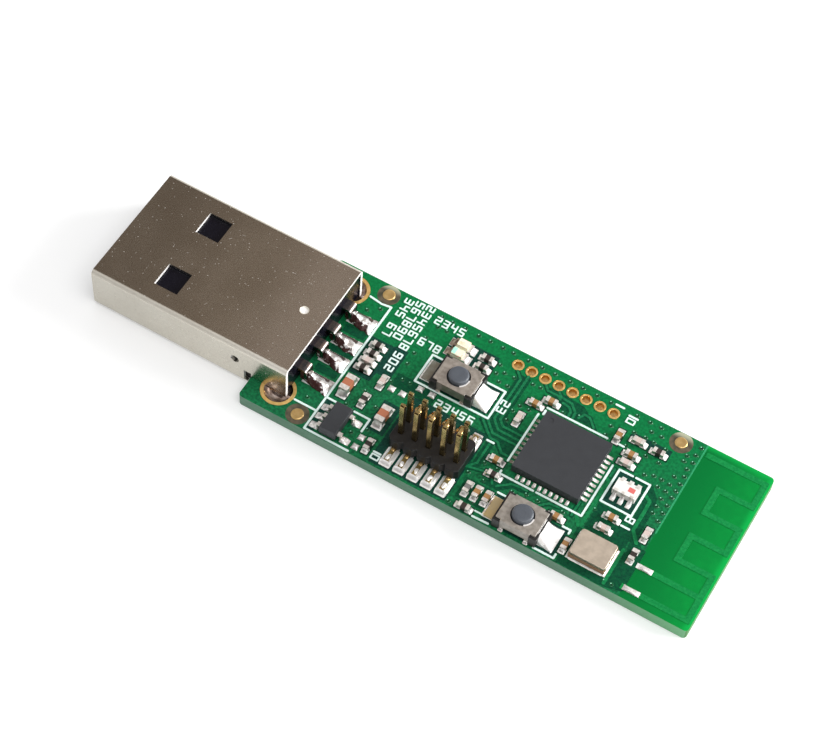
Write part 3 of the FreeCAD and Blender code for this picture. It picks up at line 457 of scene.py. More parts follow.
@dataclass(frozen=True)
class Moulding(Finish):
    """Moulded resin or fired ceramic with a fine grain and, if wanted, painted shade on its walls."""

    name: str
    colour: Colour
    shade: Colour
    rough: float = 0.45
    grain_scale: float = 22.0
    grain_depth: float = 0.006
    coat: float = 0.0
    specular: float = 0.5
    wall_shade: float = 0.0
    wall_shade_colour: Colour = (0.002, 0.003, 0.004)

    def build(self, graph: Graph) -> None:
        """Fills the material's node tree.

        Args:
            graph: The material's graph.
        """
        grain = graph.mottle(self.grain_scale, 5.0)
        patches = graph.mottle(1.2, 2.0)
        mixed = graph.blend(grain * 0.5 + patches * 0.5, self.colour, self.shade)
        wall = graph.facing()[2].size().below(0.5)
        # Painted shade: walls darkened towards wall_shade_colour.
        mixed = graph.blend(wall * self.wall_shade, mixed, self.wall_shade_colour)
        more = {
            "Coat Weight": self.coat,
            "Coat Roughness": 0.12,
            "Specular IOR Level": self.specular,
            "Normal": graph.bump(grain, self.grain_depth, 0.5),
        }
        graph.surface(mixed, self.rough - 0.06 + grain * 0.12, more)


@dataclass(frozen=True)
class MaskedBoard(Finish):
    """Green lacquer over copper and bare laminate, with raw edges of glass fibre and a painted glow along
    the board's edges at the antenna end.
    """

    name: str = "board_lacquer"
    copper: Colour = (0.005, 0.066, 0.028)
    copper_light: Colour = (0.012, 0.2, 0.07)
    far: Colour = (0.002, 0.115, 0.034)
    far_light: Colour = (0.004, 0.2, 0.056)
    far_y: float = 2.5
    far_reach: float = 5.5
    bare: Colour = (0.0, 0.15, 0.029)
    bare_light: Colour = (0.001, 0.255, 0.04)
    bare_from: float = 22.1
    bare_middle: float = 25.4
    bare_reach: float = 3.2
    # Painted glow: brighter green along the board's edges at the antenna end.
    rim: Colour = (0.003, 0.42, 0.07)
    end_glow_x: float = 27.75
    end_glow_y: float = 7.75
    end_glow_soft: Point = (0.35, 0.4)
    edge_grey: Colour = (0.22, 0.38, 0.27)
    edge_dark: Colour = (0.08, 0.16, 0.115)
    # Painted glow on the raw edges towards the antenna end.
    edge_glow: Colour = (0.22, 0.52, 0.27)
    edge_end: Colour = (0.1, 0.22, 0.09)
    edge_glow_reach: float = 6.0
    fibre: Place = (1.2, 1.2, 9.0)
    weave: Place = (6.0, 6.0, 14.0)

    def build(self, graph: Graph) -> None:
        """Fills the material's node tree.

        Args:
            graph: The material's graph.
        """
        place = graph.place()
        x, y, _ = graph.parts(place)
        onward, _, up = graph.facing()
        peel = graph.mottle(7.0)
        specks = graph.mottle(4.2, 6.0).above(0.5, 0.16) * 0.65 + graph.mottle(0.7) * 0.35
        near = graph.blend(specks, self.copper, self.copper_light)
        far = graph.blend(specks, self.far, self.far_light)
        pour = graph.blend(y.above(self.far_y, self.far_reach), near, far)
        bare = graph.blend(x.above(self.bare_middle, self.bare_reach), self.bare, self.bare_light)
        bare = graph.blend(graph.mottle(1.4, 5.0).above(0.5, 0.2) * 0.3, bare, self.bare)
        end = x.above(self.bare_from)
        # Painted glow along the board's edges at the antenna end.
        side_glow = y.above(self.end_glow_y, self.end_glow_soft[1]) * end
        rim = x.above(self.end_glow_x, self.end_glow_soft[0]).larger(side_glow) * 0.75
        face = graph.blend(end, pour, graph.blend(rim, bare, self.rim))
        fibre = graph.mottle(1.0, 3.0, graph.stretched(place, self.fibre))
        weave = graph.mottle(1.0, 2.0, graph.stretched(place, self.weave))
        raw = graph.blend(fibre * 0.7 + weave * 0.3, self.edge_dark, self.edge_grey)
        # Painted glow on the raw edges towards the antenna end.
        raw = graph.blend(x.above(self.bare_from, self.edge_glow_reach) * 0.8, raw, self.edge_glow)
        raw = graph.blend(onward.above(0.6, 0.1) * 0.9, raw, self.edge_end)
        side = up.size().below(0.5)
        relief = graph.bump(peel * (1 - side) + fibre * side, 0.008, 0.5)
        rough = 0.24 + peel * 0.12 + side * 0.4
        more = {"Specular IOR Level": 0.09, "Normal": relief}
        graph.surface(graph.blend(side, face, raw), rough, more)


@dataclass(frozen=True)
class Lacquer(Finish):
    """Green lacquer of one tone, for tracks, vias and gaps between copper."""

    name: str
    colour: Colour
    light: Colour
    rough: float = 0.28
    specular: float = 0.09

    def build(self, graph: Graph) -> None:
        """Fills the material's node tree.

        Args:
            graph: The material's graph.
        """
        peel = graph.mottle(7.0)
        colour = graph.blend(graph.mottle(4.2, 6.0).above(0.5, 0.2), self.colour, self.light)
        more = {"Specular IOR Level": self.specular, "Normal": graph.bump(peel, 0.006, 0.5)}
        graph.surface(colour, self.rough - 0.05 + peel * 0.1, more)


@dataclass(frozen=True)
class Clearing(Finish):
    """Bare laminate round an alignment mark: dark, with a pale painted glow where it meets the board's far
    edge.
    """

    name: str = "bare_laminate"
    dark: Colour = (0.055, 0.055, 0.035)
    brown: Colour = (0.13, 0.1, 0.065)
    # Painted glow near the board's far edge.
    pale: Colour = (0.5, 0.52, 0.36)
    edge_y: float = 7.6
    far_edge_glow_soft: float = 0.35

    def build(self, graph: Graph) -> None:
        """Fills the material's node tree.

        Args:
            graph: The material's graph.
        """
        clouds = graph.mottle(1.6)
        body = graph.blend(clouds.above(0.5, 0.2), self.dark, self.brown)
        # Painted glow towards the board's far edge.
        edge = graph.parts(graph.place())[1].above(self.edge_y, self.far_edge_glow_soft)
        more = {"Specular IOR Level": 0.3, "Normal": graph.bump(clouds, 0.01, 0.5)}
        graph.surface(graph.blend(edge * 0.8, body, self.pale), 0.35 + clouds * 0.1, more)


@dataclass(frozen=True)
class Lands(Finish):
    """Tinned lands, with gilt where the three alignment marks are."""

    name: str = "tinned_and_gilt_lands"
    tin: Colour = (0.84, 0.84, 0.82)
    gilt: Colour = (0.6, 0.39, 0.12)
    marks: tuple[Point, ...] = ((-7.635, -7.0), (-7.285, 7.0), (20.115, 7.25))
    mark_reach: float = 0.7

    def build(self, graph: Graph) -> None:
        """Fills the material's node tree.

        Args:
            graph: The material's graph.
        """
        gilt: Wire | Number = 0.0
        for mark in self.marks:
            gilt = graph.away(mark).below(self.mark_reach) + gilt
        grain = graph.mottle(9.0)
        more = {"Metallic": 0.3, "Normal": graph.bump(grain, 0.004, 0.5)}
        graph.surface(graph.blend(gilt, self.tin, self.gilt), 0.34 + grain * 0.15, more)


@dataclass(frozen=True)
class Lens(Finish):
    """Milky resin of a light diode."""

    name: str = "diode_resin"
    colour: Colour = (0.9, 0.86, 0.69)
    deep: Colour = (0.74, 0.67, 0.42)

    def build(self, graph: Graph) -> None:
        """Fills the material's node tree.

        Args:
            graph: The material's graph.
        """
        clouds = graph.mottle(3.0)
        more = {
            "Subsurface Weight": 0.25,
            "Subsurface Scale": 0.3 * MM,
            "Coat Weight": 0.5,
            "Coat Roughness": 0.08,
            "Normal": graph.bump(clouds, 0.01, 0.4),
        }
        colour = graph.blend(clouds.above(0.6, 0.12), self.colour, self.deep)
        graph.surface(colour, 0.18 + clouds * 0.1, more)


LACQUER = MaskedBoard()
TRACK = Lacquer("track_lacquer", (0.007, 0.13, 0.05), (0.016, 0.2, 0.078))
FEED = Lacquer("feed_lacquer", (0.006, 0.15, 0.05), (0.012, 0.22, 0.07))
HOLLOW = Lacquer("hollow_lacquer", (0.003, 0.05, 0.026), (0.004, 0.088, 0.034))
GAP = Lacquer("gap_lacquer", (0.005, 0.036, 0.028), (0.009, 0.066, 0.042))
# Dark lacquer round the small parts: a gap in the lacquer and painted shadow.
SHADOW_AND_CLEARING = Lacquer("shadow_and_clearing_lacquer", (0.004, 0.03, 0.018), (0.006, 0.06, 0.028))
VIA = Lacquer("via_lacquer", (0.002, 0.07, 0.024), (0.004, 0.11, 0.034), 0.2, 0.4)
# Painted highlight: the pale glint disc beside each via.
GLINT = Lacquer("via_glint", (0.16, 0.5, 0.32), (0.25, 0.62, 0.42), 0.3, 0.4)
AERIAL = Lacquer("aerial_lacquer", (0.004, 0.19, 0.045), (0.009, 0.25, 0.06))
BORDER = Lacquer("border_lacquer", (0.02, 0.26, 0.1), (0.035, 0.33, 0.14))
CLEARING = Clearing()
INK = Moulding("board_ink", (0.8, 0.93, 0.89), (0.66, 0.83, 0.78), 0.6, 30.0, 0.003)
# Painted shade: the dark disc in each via's hole.
PIT = Moulding("via_pit", (0.001, 0.035, 0.012), (0.0, 0.02, 0.008), 0.3, specular=0.2)
GILT = Metal("gilding", (0.86, 0.58, 0.22), (0.66, 0.38, 0.1), 0.3, stain_scale=2.5, frost=0.45)
MARK = Metal("mark_gilding", (0.62, 0.43, 0.18), (0.46, 0.28, 0.09), 0.3, stain_scale=2.5, frost=0.45)
# The contact tails past x = -10.6 take a near-black painted shade, where they lie under the plug's hood.
STRIP = Metal(
    "contact_plating", (0.86, 0.58, 0.22), (0.3, 0.22, 0.18), 0.2, stain_scale=2.5, frost=0.2,
    end_shade_from=-10.6, end_shade=(0.13, 0.125, 0.13),
)
BRASS = Metal("pin_gilding", (0.5, 0.38, 0.15), (0.2, 0.13, 0.05), 0.17, stain_scale=1.2, frost=0.3)
AMBER = Metal("pin_foot", (0.75, 0.5, 0.2), (0.3, 0.16, 0.06), 0.22, stain_scale=3.0, frost=0.3)
SOLDER = Metal(
    "bright_solder", (0.92, 0.9, 0.88), (0.55, 0.51, 0.48), 0.38, 0.16, 2.6, 0.6, 5.0, 0.02,
    frost=0.42, steep=0.92,
)
FOOT = Metal(
    "foot_solder", (0.95, 0.93, 0.91), (0.72, 0.68, 0.65), 0.3, 0.16, 2.6, 0.45, 5.0, 0.02,
    frost=0.2, steep=0.5,
)
SHEEN = Metal(
    "smooth_solder", (0.84, 0.8, 0.78), (0.5, 0.43, 0.4), 0.28, 0.16, 2.8, 0.7, 5.0, 0.03,
    frost=0.5, steep=0.85,
)
# Brown solder for the diodes' left ends.
BROWN_SOLDER = Metal("brown_solder", (0.5, 0.41, 0.32), (0.12, 0.08, 0.055), 0.3, 0.16, 3.0, 0.9, 6.0, 0.03, 0.3)
SHADED_SOLDER = ShadedSolder()
# Mostly brown: its stain colour paints the reflection of the shell wall in the leg pools.
POOL = Metal("leg_solder", (0.6, 0.5, 0.45), (0.16, 0.1, 0.075), 0.14, 0.1, 0.9, 0.9, 3.0, 0.03, 0.3)
TIN = Metal(
    "tinned_end", (0.86, 0.83, 0.79), (0.56, 0.5, 0.45), 0.32, 0.15, 3.4, 0.7, 8.0, 0.015,
    frost=0.5, steep=0.88,
)
NICKEL = Plating()
# The cover's steep faces get painted shade through wall_shade_tone.
COVER = Metal(
    "cover_plate", (0.4, 0.355, 0.31), (0.25, 0.22, 0.19), 0.34, 0.14, 2.8, 0.8, 12.0, 0.008,
    frost=0.4, steep=0.75, wall_shade_tone=0.45,
)
BRIGHT_COVER = Metal(
    "bright_cover_plate", (0.39, 0.355, 0.315), (0.26, 0.235, 0.205), 0.34, 0.14, 2.8, 0.8, 12.0, 0.008,
    frost=-0.3, steep=0.05,
)
SPRING = Metal("dome_steel", (0.66, 0.65, 0.63), (0.5, 0.49, 0.47), 0.22)
# Painted reflection: a gold tint on the user switch's tinned terminals.
GOLD_REFLECTION_TAB = Metal("gold_reflection_tab", (0.6, 0.46, 0.22), (0.5, 0.42, 0.28), 0.3, stain_scale=1.2, frost=0.6)
# Darker greenish tin: painted shade with a painted reflection of the green board.
SHADED_GREEN_TIN = Metal("shaded_green_tin", (0.36, 0.38, 0.33), (0.2, 0.16, 0.11), 0.25, stain_scale=1.0, frost=0.4)
LID = Metal(
    "crystal_plate", (0.62, 0.53, 0.43), (0.46, 0.39, 0.31), 0.34, 0.12, 1.4, 0.7, 12.0, 0.006,
    frost=0.5, steep=0.95,
)
BLACK = Moulding(
    "black_resin", (0.008, 0.008, 0.009), (0.035, 0.034, 0.033), 0.4, 6.0, 0.02, specular=0.35
)
# The header's walls take painted shade.
HOUSING = Moulding(
    "header_resin", (0.007, 0.007, 0.008), (0.026, 0.025, 0.025), 0.4, 6.0, 0.02, specular=0.27,
    wall_shade=0.75,
)
TONGUE = Moulding(
    "plug_resin", (0.002, 0.002, 0.005), (0.008, 0.008, 0.014), 0.2, 3.0, 0.05, specular=0.28
)
PACKAGE = Moulding(
    "package_resin", (0.026, 0.028, 0.032), (0.044, 0.047, 0.053), 0.5, 20.0, 0.01, specular=0.35
)
BUTTON = Moulding("button_resin", (0.056, 0.064, 0.078), (0.098, 0.11, 0.13), 0.42, 9.0, 0.02)
TRAY = Moulding("crystal_tray", (0.3, 0.17, 0.09), (0.22, 0.12, 0.06), 0.5)
PORCELAIN = Moulding("balun_porcelain", (0.86, 0.84, 0.8), (0.76, 0.73, 0.69), 0.4)
RED_MARK = Moulding("red_mark", (0.72, 0.16, 0.14), (0.62, 0.12, 0.11), 0.5)
TAN = Moulding("tan_ceramic", (0.4, 0.21, 0.075), (0.3, 0.15, 0.05), 0.38)
ORANGE = Moulding("orange_ceramic", (0.47, 0.17, 0.085), (0.36, 0.12, 0.06), 0.36)
DARK = Moulding("resistor_glaze", (0.022, 0.016, 0.014), (0.05, 0.038, 0.033), 0.34)
PALE = Moulding("pale_ceramic", (0.66, 0.54, 0.49), (0.52, 0.4, 0.36), 0.38)
GREY = Moulding("grey_ceramic", (0.22, 0.21, 0.2), (0.14, 0.13, 0.125), 0.38)
DIODE_BASE = Moulding("diode_base", (0.78, 0.75, 0.6), (0.66, 0.62, 0.46), 0.4)
MINT = Moulding("diode_tint", (0.35, 0.85, 0.66), (0.5, 0.88, 0.72), 0.25, coat=0.6)
RESIN = Lens()


@dataclass(frozen=True)
class Ground:
    """Where the board lies in the frame, in millimetres."""

    edge: float
    top: float

    def point(self, x: float, y: float, z: float) -> Vector:
        """Returns a point on the board in metres of the frame."""
        return Vector(((x + self.edge) * MM, y * MM, (z + self.top) * MM))

    def box(self, low: Vector, high: Vector) -> Box:
        """Returns a box of the frame in board millimetres."""
        shift = Vector((self.edge, 0.0, self.top))
        return low / MM - shift, high / MM - shift


@dataclass(frozen=True)
class Rounding:
    """A bevel on the edges of a piece, in millimetres."""

    width: float = 0.03
    steps: int = 2
    angle: float = 40.0

    def apply(self, piece: bpy.types.Object) -> None:
        """Adds the bevel to a piece.

        Args:
            piece: The piece.
        """
        bevel = piece.modifiers.new("edge_rounding", "BEVEL")
        bevel.width = self.width * MM
        bevel.segments = self.steps
        bevel.limit_method = "ANGLE"
        bevel.angle_limit = math.radians(self.angle)
        bevel.use_clamp_overlap = True
        bevel.harden_normals = True


def patch(x0: float, y0: float, x1: float, y1: float) -> list[Point]:
    """Returns the outline of a rectangle from two opposite corners."""
    return [(x0, y0), (x1, y0), (x1, y1), (x0, y1)]


def arc(centre: Point, radius: float, start: float, stop: float, steps: int) -> list[Point]:
    """Finds points on an arc.

    Args:
        centre: Its centre.
        radius: Its radius.
        start: The first point's angle in degrees.
        stop: The last point's angle.
        steps: How many steps lie between them.

    Returns:
        The points.
    """
    angles = [math.radians(start + (stop - start) * i / steps) for i in range(steps + 1)]
    return [(centre[0] + radius * math.cos(a), centre[1] + radius * math.sin(a)) for a in angles]


def circle(centre: Point, radius: float, turns: int) -> list[Point]:
    """Returns the corners of a circle."""
    return arc(centre, radius, 0.0, 360.0, turns)[:-1]


def rounded(low: Vector, high: Vector, radius: float) -> list[Point]:
    """Finds the outline of a rectangle with round corners.

    Args:
        low: Its lowest corner.
        high: Its highest corner.
        radius: The radius of its corners.

    Returns:
        The outline.
    """
    x0, y0, x1, y1 = low.x + radius, low.y + radius, high.x - radius, high.y - radius
    outline = []
    for start, corner in zip((0, 90, 180, 270), ((x1, y1), (x0, y1), (x0, y0), (x1, y0))):
        outline += arc(corner, radius, start, start + 90, CORNER_STEPS)
    return outline


def ripple(x: float, y: float, seed: float, scale: float) -> float:
    """Returns smooth noise from -1 to 1 at a place, its scale in waves to the millimetre."""
    return noise.noise(Vector((x, y, seed)) * scale)


class Lump:
    """A lump of solder: how finely its free top is divided and how low its flat foot lies."""

    rows: ClassVar[int] = 8
    columns: ClassVar[int] = 8
    foot: ClassVar[float] = SUNK

    def top(self, u: float, v: float) -> Place:
        """Returns the point of the top at two shares from 0 to 1."""
        raise NotImplementedError


@dataclass(frozen=True)
class Dome(Lump):
    """A low dome over a rim of some height; the seed tells two domes apart."""

    middle: Point
    size: Point
    high: float
    rim: float
    seed: float

    def top(self, u: float, v: float) -> Place:
        """Finds a point of the top.

        Args:
            u: The share along x.
            v: The share along y.

        Returns:
            The point.
        """
        x = self.middle[0] + (u - 0.5) * self.size[0]
        y = self.middle[1] + (v - 0.5) * self.size[1]
        swell = (1 - abs(2 * u - 1) ** 3) * (1 - abs(2 * v - 1) ** 3)
        return x, y, self.rim + max(0.0, self.high * swell * (1 + 0.5 * ripple(x, y, self.seed, 3.0)))


@dataclass(frozen=True)
class Toe(Lump):
    """A hollow fillet from a terminal's foot, its heel, down to the land; the seed tells two apart."""

    rows: ClassVar[int] = 7
    taper: ClassVar[float] = 0.12
    hollow: ClassVar[float] = 1.9
    crown: ClassVar[float] = 0.55
    wave: ClassVar[float] = 0.03
    heel: Point
    way: Point
    reach: float
    wide: float
    high: float
    seed: float

    def top(self, u: float, v: float) -> Place:
        """Finds a point of the top.

        Args:
            u: The share away from the terminal.
            v: The share across it.

        Returns:
            The point.
        """
        off = abs(2 * v - 1)
        side = (2 * v - 1) * self.wide / 2 * (1 - self.taper * u * u)
        x = self.heel[0] + self.way[0] * self.reach * u - self.way[1] * side
        y = self.heel[1] + self.way[1] * self.reach * u + self.way[0] * side
        climb = (1 - u) ** self.hollow * (1 - self.crown * off**3)
        wave = max(0.0, self.wave * ripple(x, y, self.seed, 2.0) * (1 - off)) * (1 - u)
        return x, y, LAND_TOP + (self.high - SUNK) * climb + wave


@dataclass(frozen=True)
class Heap(Lump):
    """The heap on one of the plug's contact tails, steep at the plug and thin at its end."""

    rows: ClassVar[int] = 44
    columns: ClassVar[int] = 30
    row: float
    start: float = 3.4
    end: float = 6.06
    wide: float = 1.5
    lean: float = 0.52
    bend: float = -0.12
    crest_at: float = 0.45
    crest_end: float = 0.24
    crest_rise: float = 0.9
    crest_least: float = 0.07
    near_curve: float = 0.8
    far_curve: float = 1.25

    def top(self, u: float, v: float) -> Place:
        """Finds a point of the top.

        Args:
            u: The share along the row, from the plug.
            v: The share from the near to the far side.

        Returns:
            The point.
        """
        row = self.row
        x = self.start + u * (self.end - self.start)
        wide = self.wide * (0.5 + 0.5 * min(1.0, u * 1.5)) * (1 + 0.2 * ripple(x, row, 3.0, 2.4))
        y = row + self.bend * u * u + 0.08 * ripple(x, row, 7.0, 1.4) + (v - self.lean) * wide
        crest = self.crest_end + self.crest_rise * (1 - u) ** 1.2 * (1 + 0.35 * ripple(x, row, 1.0, 2.3))
        near = v < self.crest_at
        share = v / self.crest_at if near else (1 - v) / (1 - self.crest_at)
        ridge = math.sin(min(1.0, share) * math.pi / 2) ** (self.near_curve if near else self.far_curve)
        end = min(1.0, (1 - u) * 7) ** 0.5
        rough = 0.07 * ripple(x, y, row, 3.2) + 0.035 * ripple(x, y, row + 9.0, 8.0)
        return x, y, max(LEAST, LAND_TOP + (max(self.crest_least, crest) + rough) * ridge * end)


@dataclass(frozen=True)
class Pool(Lump):
    """The solder in one leg hole, which clings to the leg."""

    rows: ClassVar[int] = 12
    columns: ClassVar[int] = 44
    foot: ClassVar[float] = -1.15
    side: float
    leg: Point = (2.52, 5.85)
    radius: float = 1.2
    deep: float = -0.55
    climb: float = 0.42
    cling: float = 0.34
    cling_reach: float = 0.35

    def top(self, u: float, v: float) -> Place:
        """Finds a point of the top.

        Args:
            u: The share out from the hole's middle.
            v: The share round the hole.

        Returns:
            The point.
        """
        away = self.radius * u * math.sin(math.tau * v)
        x = self.leg[0] + self.radius * u * math.cos(math.tau * v)
        y = self.side * self.leg[1] + away
        cling = self.cling * math.exp(-((away / self.cling_reach) ** 2)) * (1 - u * 0.4)
        return x, y, self.deep + self.climb * u**4 + cling + 0.05 * ripple(x, y, self.side, 2.0)


@dataclass(frozen=True)
class Slope(Lump):
    """The solder that climbs a switch's end wall."""

    rows: ClassVar[int] = 30
    columns: ClassVar[int] = 22
    start: float
    middle: float
    out: float = 1.5
    half: float = 1.16
    high: float = 1.16

    def top(self, u: float, v: float) -> Place:
        """Finds a point of the top.

        Args:
            u: The share out from the wall.
            v: The share across it.

        Returns:
            The point.
        """
        x = self.start + self.out * u
        y = self.middle + (2 * v - 1) * self.half * (0.88 + 0.12 * u)
        edge = min(1.0, 7 * min(v, 1 - v)) ** 0.5
        fall = 0.55 * math.exp(-u * 3.4) + 0.45 * (1 - u) ** 0.9
        wave = 0.07 * ripple(x, y, self.start, 1.8) + 0.03 * ripple(x, y, self.start, 6.0)
        return x, y, max(LEAST, LAND_TOP + (self.high * fall + wave * min(1.0, 5 * u)) * edge)


class Slot(Enum):
    """The record's slots for the pieces that the scene adds."""

    LACQUER = "solder_mask"
    MASKED = "masked_copper"
    SOLDER = "solder"
    BUTTON = "button_moulding"
    DOME = "switch_dome"
    LENS = "diode_lens"
    LID = "crystal_lid"
    BALUN = "balun_ceramic"
    TAN = "chip_tan"
    DARK = "chip_dark"
    WHITE = "chip_white"


class Shape:
    """Faces gathered in board millimetres and made into one piece."""

    def __init__(self, ground: Ground) -> None:
        """Starts an empty shape.

        Args:
            ground: Where the board lies.
        """
        self.ground = ground
        self.points: list[Place] = []
        self.faces: list[list[int]] = []
        self.paints: list[int] = []
        self.layer = 0

    def add(self, points: Sequence[Place], faces: Sequence[Sequence[int]], paint: int) -> None:
        """Adds faces with points of their own.

        Args:
            points: The points.
            faces: Each face's places in the points.
            paint: The number of the finish.
        """
        start = len(self.points)
        self.points.extend(points)
        self.faces.extend([start + i for i in face] for face in faces)
        self.paints.extend([paint] * len(faces))

    def prism(self, outline: Sequence[Point], low: float, high: float, paint: int = 0) -> None:
        """Adds a flat plate.

        Args:
            outline: Its corners in order.
            low: The height of its underside.
            high: The height of its top.
            paint: The number of the finish.
        """
        count = len(outline)
        points = [(x, y, z) for z in (low, high) for x, y in outline]
        faces = [list(range(count))[::-1], list(range(count, 2 * count))]
        faces += [[i, (i + 1) % count, count + (i + 1) % count, count + i] for i in range(count)]
        self.add(points, faces, paint)

    def block(self, low: Sequence[float], high: Sequence[float], paint: int = 0) -> None:
        """Adds a box between two corners."""
        self.prism(patch(low[0], low[1], high[0], high[1]), low[2], high[2], paint)

    def film(self, outline: Sequence[Point], high: float, paint: int = 0) -> None:
        """Adds a thin plate on the board, each a little higher than the one before.

        Args:
            outline: Its corners in order.
            high: The height of its top.
            paint: The number of the finish.
        """
        self.layer = (self.layer + 1) % LAYERS
        pairs = zip(outline, [*outline[1:], outline[0]])
        around = sum(a[0] * b[1] - b[0] * a[1] for a, b in pairs)
        corners = outline if around > 0 else outline[::-1]
        self.prism(corners, 0.0, high + self.layer * LAYER_STEP, paint)

    def strip(self, path: Sequence[Point], width: float, high: float, paint: int = 0) -> None:
        """Adds a line with round corners on the board.

        Args:
            path: The points that it joins.
            width: How wide it is.
            high: The height of its top.
            paint: The number of the finish.
        """
        for a, b in zip(path, path[1:]):
            turn = math.degrees(math.atan2(b[1] - a[1], b[0] - a[0]))
            ahead = arc(b, width / 2, turn - 90, turn + 90, END_STEPS)
            behind = arc(a, width / 2, turn + 90, turn + 270, END_STEPS)
            self.film(ahead + behind, high, paint)

    def turned(self, centre: Point, profile: Sequence[Point], turns: int, paint: int = 0) -> None:
        """Adds a turned form.

        Args:
            centre: Its axis on the board.
            profile: Radius and height from the foot to the crown.
            turns: How many sides it has.
            paint: The number of the finish.
        """
        points = [(x, y, high) for radius, high in profile for x, y in circle(centre, radius, turns)]
        last = len(points) - turns
        faces = []
        for row in range(0, last, turns):
            for i in range(turns):
                a, b = row + i, row + (i + 1) % turns
                faces.append([a, b, b + turns, a + turns])
        faces += [list(range(turns))[::-1], list(range(last, last + turns))]
        self.add(points, faces, paint)

    def lump(self, form: Lump, paint: int = 0) -> None:
        """Adds a closed lump of solder.

        Args:
            form: Its form.
            paint: The number of the finish.
        """
        rows, wide = form.rows, form.columns + 1
        top = [form.top(i / rows, j / form.columns) for i in range(rows + 1) for j in range(wide)]
        half = len(top)
        faces = []
        for i in range(rows):
            for j in range(form.columns):
                a = i * wide + j
                faces.append([a, a + wide, a + wide + 1, a + 1])
                faces.append([half + a, half + a + 1, half + a + wide + 1, half + a + wide])
        last = rows * wide
        rim = [*range(wide), *range(2 * wide - 1, last + wide, wide)]
        rim += [*range(last + wide - 2, last - 1, -1), *range(last - wide, 0, -wide)]
        for a, b in zip(rim, rim[1:] + rim[:1]):
            faces.append([a, b, half + b, half + a])
        self.add(top + [(x, y, form.foot) for x, y, _ in top], faces, paint)

    def make(
        self,
        name: str,
        slot: Slot,
        finishes: Sequence[Finish],
        smooth: float = 35.0,
        rounding: Rounding | None = None,
        instead_of: str = "",
        body: str = BODY,
    ) -> bpy.types.Object:
        """Makes the piece.

        Args:
            name: The piece's name.
            slot: The record's slot for the piece, which is only logged.
            finishes: Its finishes in the order of the paint numbers.
            smooth: The angle in degrees above which an edge stays sharp.
            rounding: A bevel, or None.
            instead_of: The node that it stands for, if any.
            body: The body that it rides on.

        Returns:
            The piece.
        """
        mesh = bpy.data.meshes.new(name)
        mesh.from_pydata([self.ground.point(*p) for p in self.points], [], self.faces)
        for finish in finishes:
            mesh.materials.append(finish.material())
        mesh.polygons.foreach_set("material_index", self.paints)
        mesh.polygons.foreach_set("use_smooth", [True] * len(self.faces))
        mesh.validate()
        mesh.set_sharp_from_angle(angle=math.radians(smooth))
        piece = bpy.data.objects.new(name, mesh)
        bpy.context.scene.collection.objects.link(piece)
        if rounding is not None:
            rounding.apply(piece)
        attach(piece, body)
        if instead_of:
            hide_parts(instead_of)
        log.info("%s: %d faces, %s", name, len(self.faces), slot.value)
        return piece


class Model:
    """The loaded frame and what every sub-assembly needs from it."""

    def __init__(self) -> None:
        """Loads the frame and finds the board in it."""
        self.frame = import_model()
        self.box_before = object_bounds()
        low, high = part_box("circuit_board")
        self.ground = Ground(low.x / MM, high.z / MM)

    def dress(self, node: str, finish: Finish, rounding: Rounding | None = None) -> None:
        """Gives a carried-over node its finish.

        Args:
            node: The node's name.
            finish: The finish.
            rounding: A bevel for its edges, or None.
        """
        piece = self.frame["nodes"][node]
        if not piece.material_slots:
            piece.data.materials.append(finish.material())
        for place in piece.material_slots:
            place.material = finish.material()
        if rounding is not None:
            weld = piece.modifiers.new("edge_weld", "WELD")
            weld.merge_threshold = WELD * MM
            rounding.apply(piece)
        log.info("%s dressed with %s", node, finish.name)

    def solids(self, node: str) -> list[Box]:
        """Finds the separate solids of a node.

        Args:
            node: The node's name.

        Returns:
            The lowest and highest corner of each, in board millimetres, sorted along the board.
        """
        mesh = self.frame["nodes"][node].data
        spots: dict[tuple[float, ...], int] = {}
        rounded_to = [tuple(round(c, DECIMALS) for c in v.co) for v in mesh.vertices]
        corner = [spots.setdefault(spot, len(spots)) for spot in rounded_to]
        group = list(range(len(spots)))

        def root(i: int) -> int:
            """Returns the number that stands for a point's solid."""
            while group[i] != i:
                i = group[i]
            return i

        for face in mesh.polygons:
            first = root(corner[face.vertices[0]])
            for vertex in face.vertices[1:]:
                group[root(corner[vertex])] = first
        gathered: dict[int, list[tuple[float, ...]]] = {}
        for spot, number in spots.items():
            gathered.setdefault(root(number), []).append(spot)
        clouds = [np.array(spread) for spread in gathered.values()]
        found = [self.ground.box(Vector(cloud.min(0)), Vector(cloud.max(0))) for cloud in clouds]
        return sorted(found, key=lambda box: tuple(box[0]))

    def shape(self) -> Shape:
        """Returns an empty shape on this board."""
        return Shape(self.ground)


@dataclass
class Part:
    """A sub-assembly on the board."""

    model: Model

    def build(self) -> None:
        """Dresses the sub-assembly's nodes and makes its pieces."""
        raise NotImplementedError


# A digit's strokes, each from end to end in a cell that is one wide and one high.
STROKES: dict[str, tuple[Point, Point]] = {
    "a": ((0, 1), (1, 1)),
    "b": ((1, 1), (1, 0.5)),
    "c": ((1, 0.5), (1, 0)),
    "d": ((1, 0), (0, 0)),
    "e": ((0, 0.5), (0, 0)),
    "f": ((0, 1), (0, 0.5)),
    "g": ((0, 0.5), (1, 0.5)),
}
# The strokes of each digit from 0 to 9.
DIGITS = "abcdef bc abged abgcd fgbc afgcd afgedc abc abcdefg abgfcd".split()


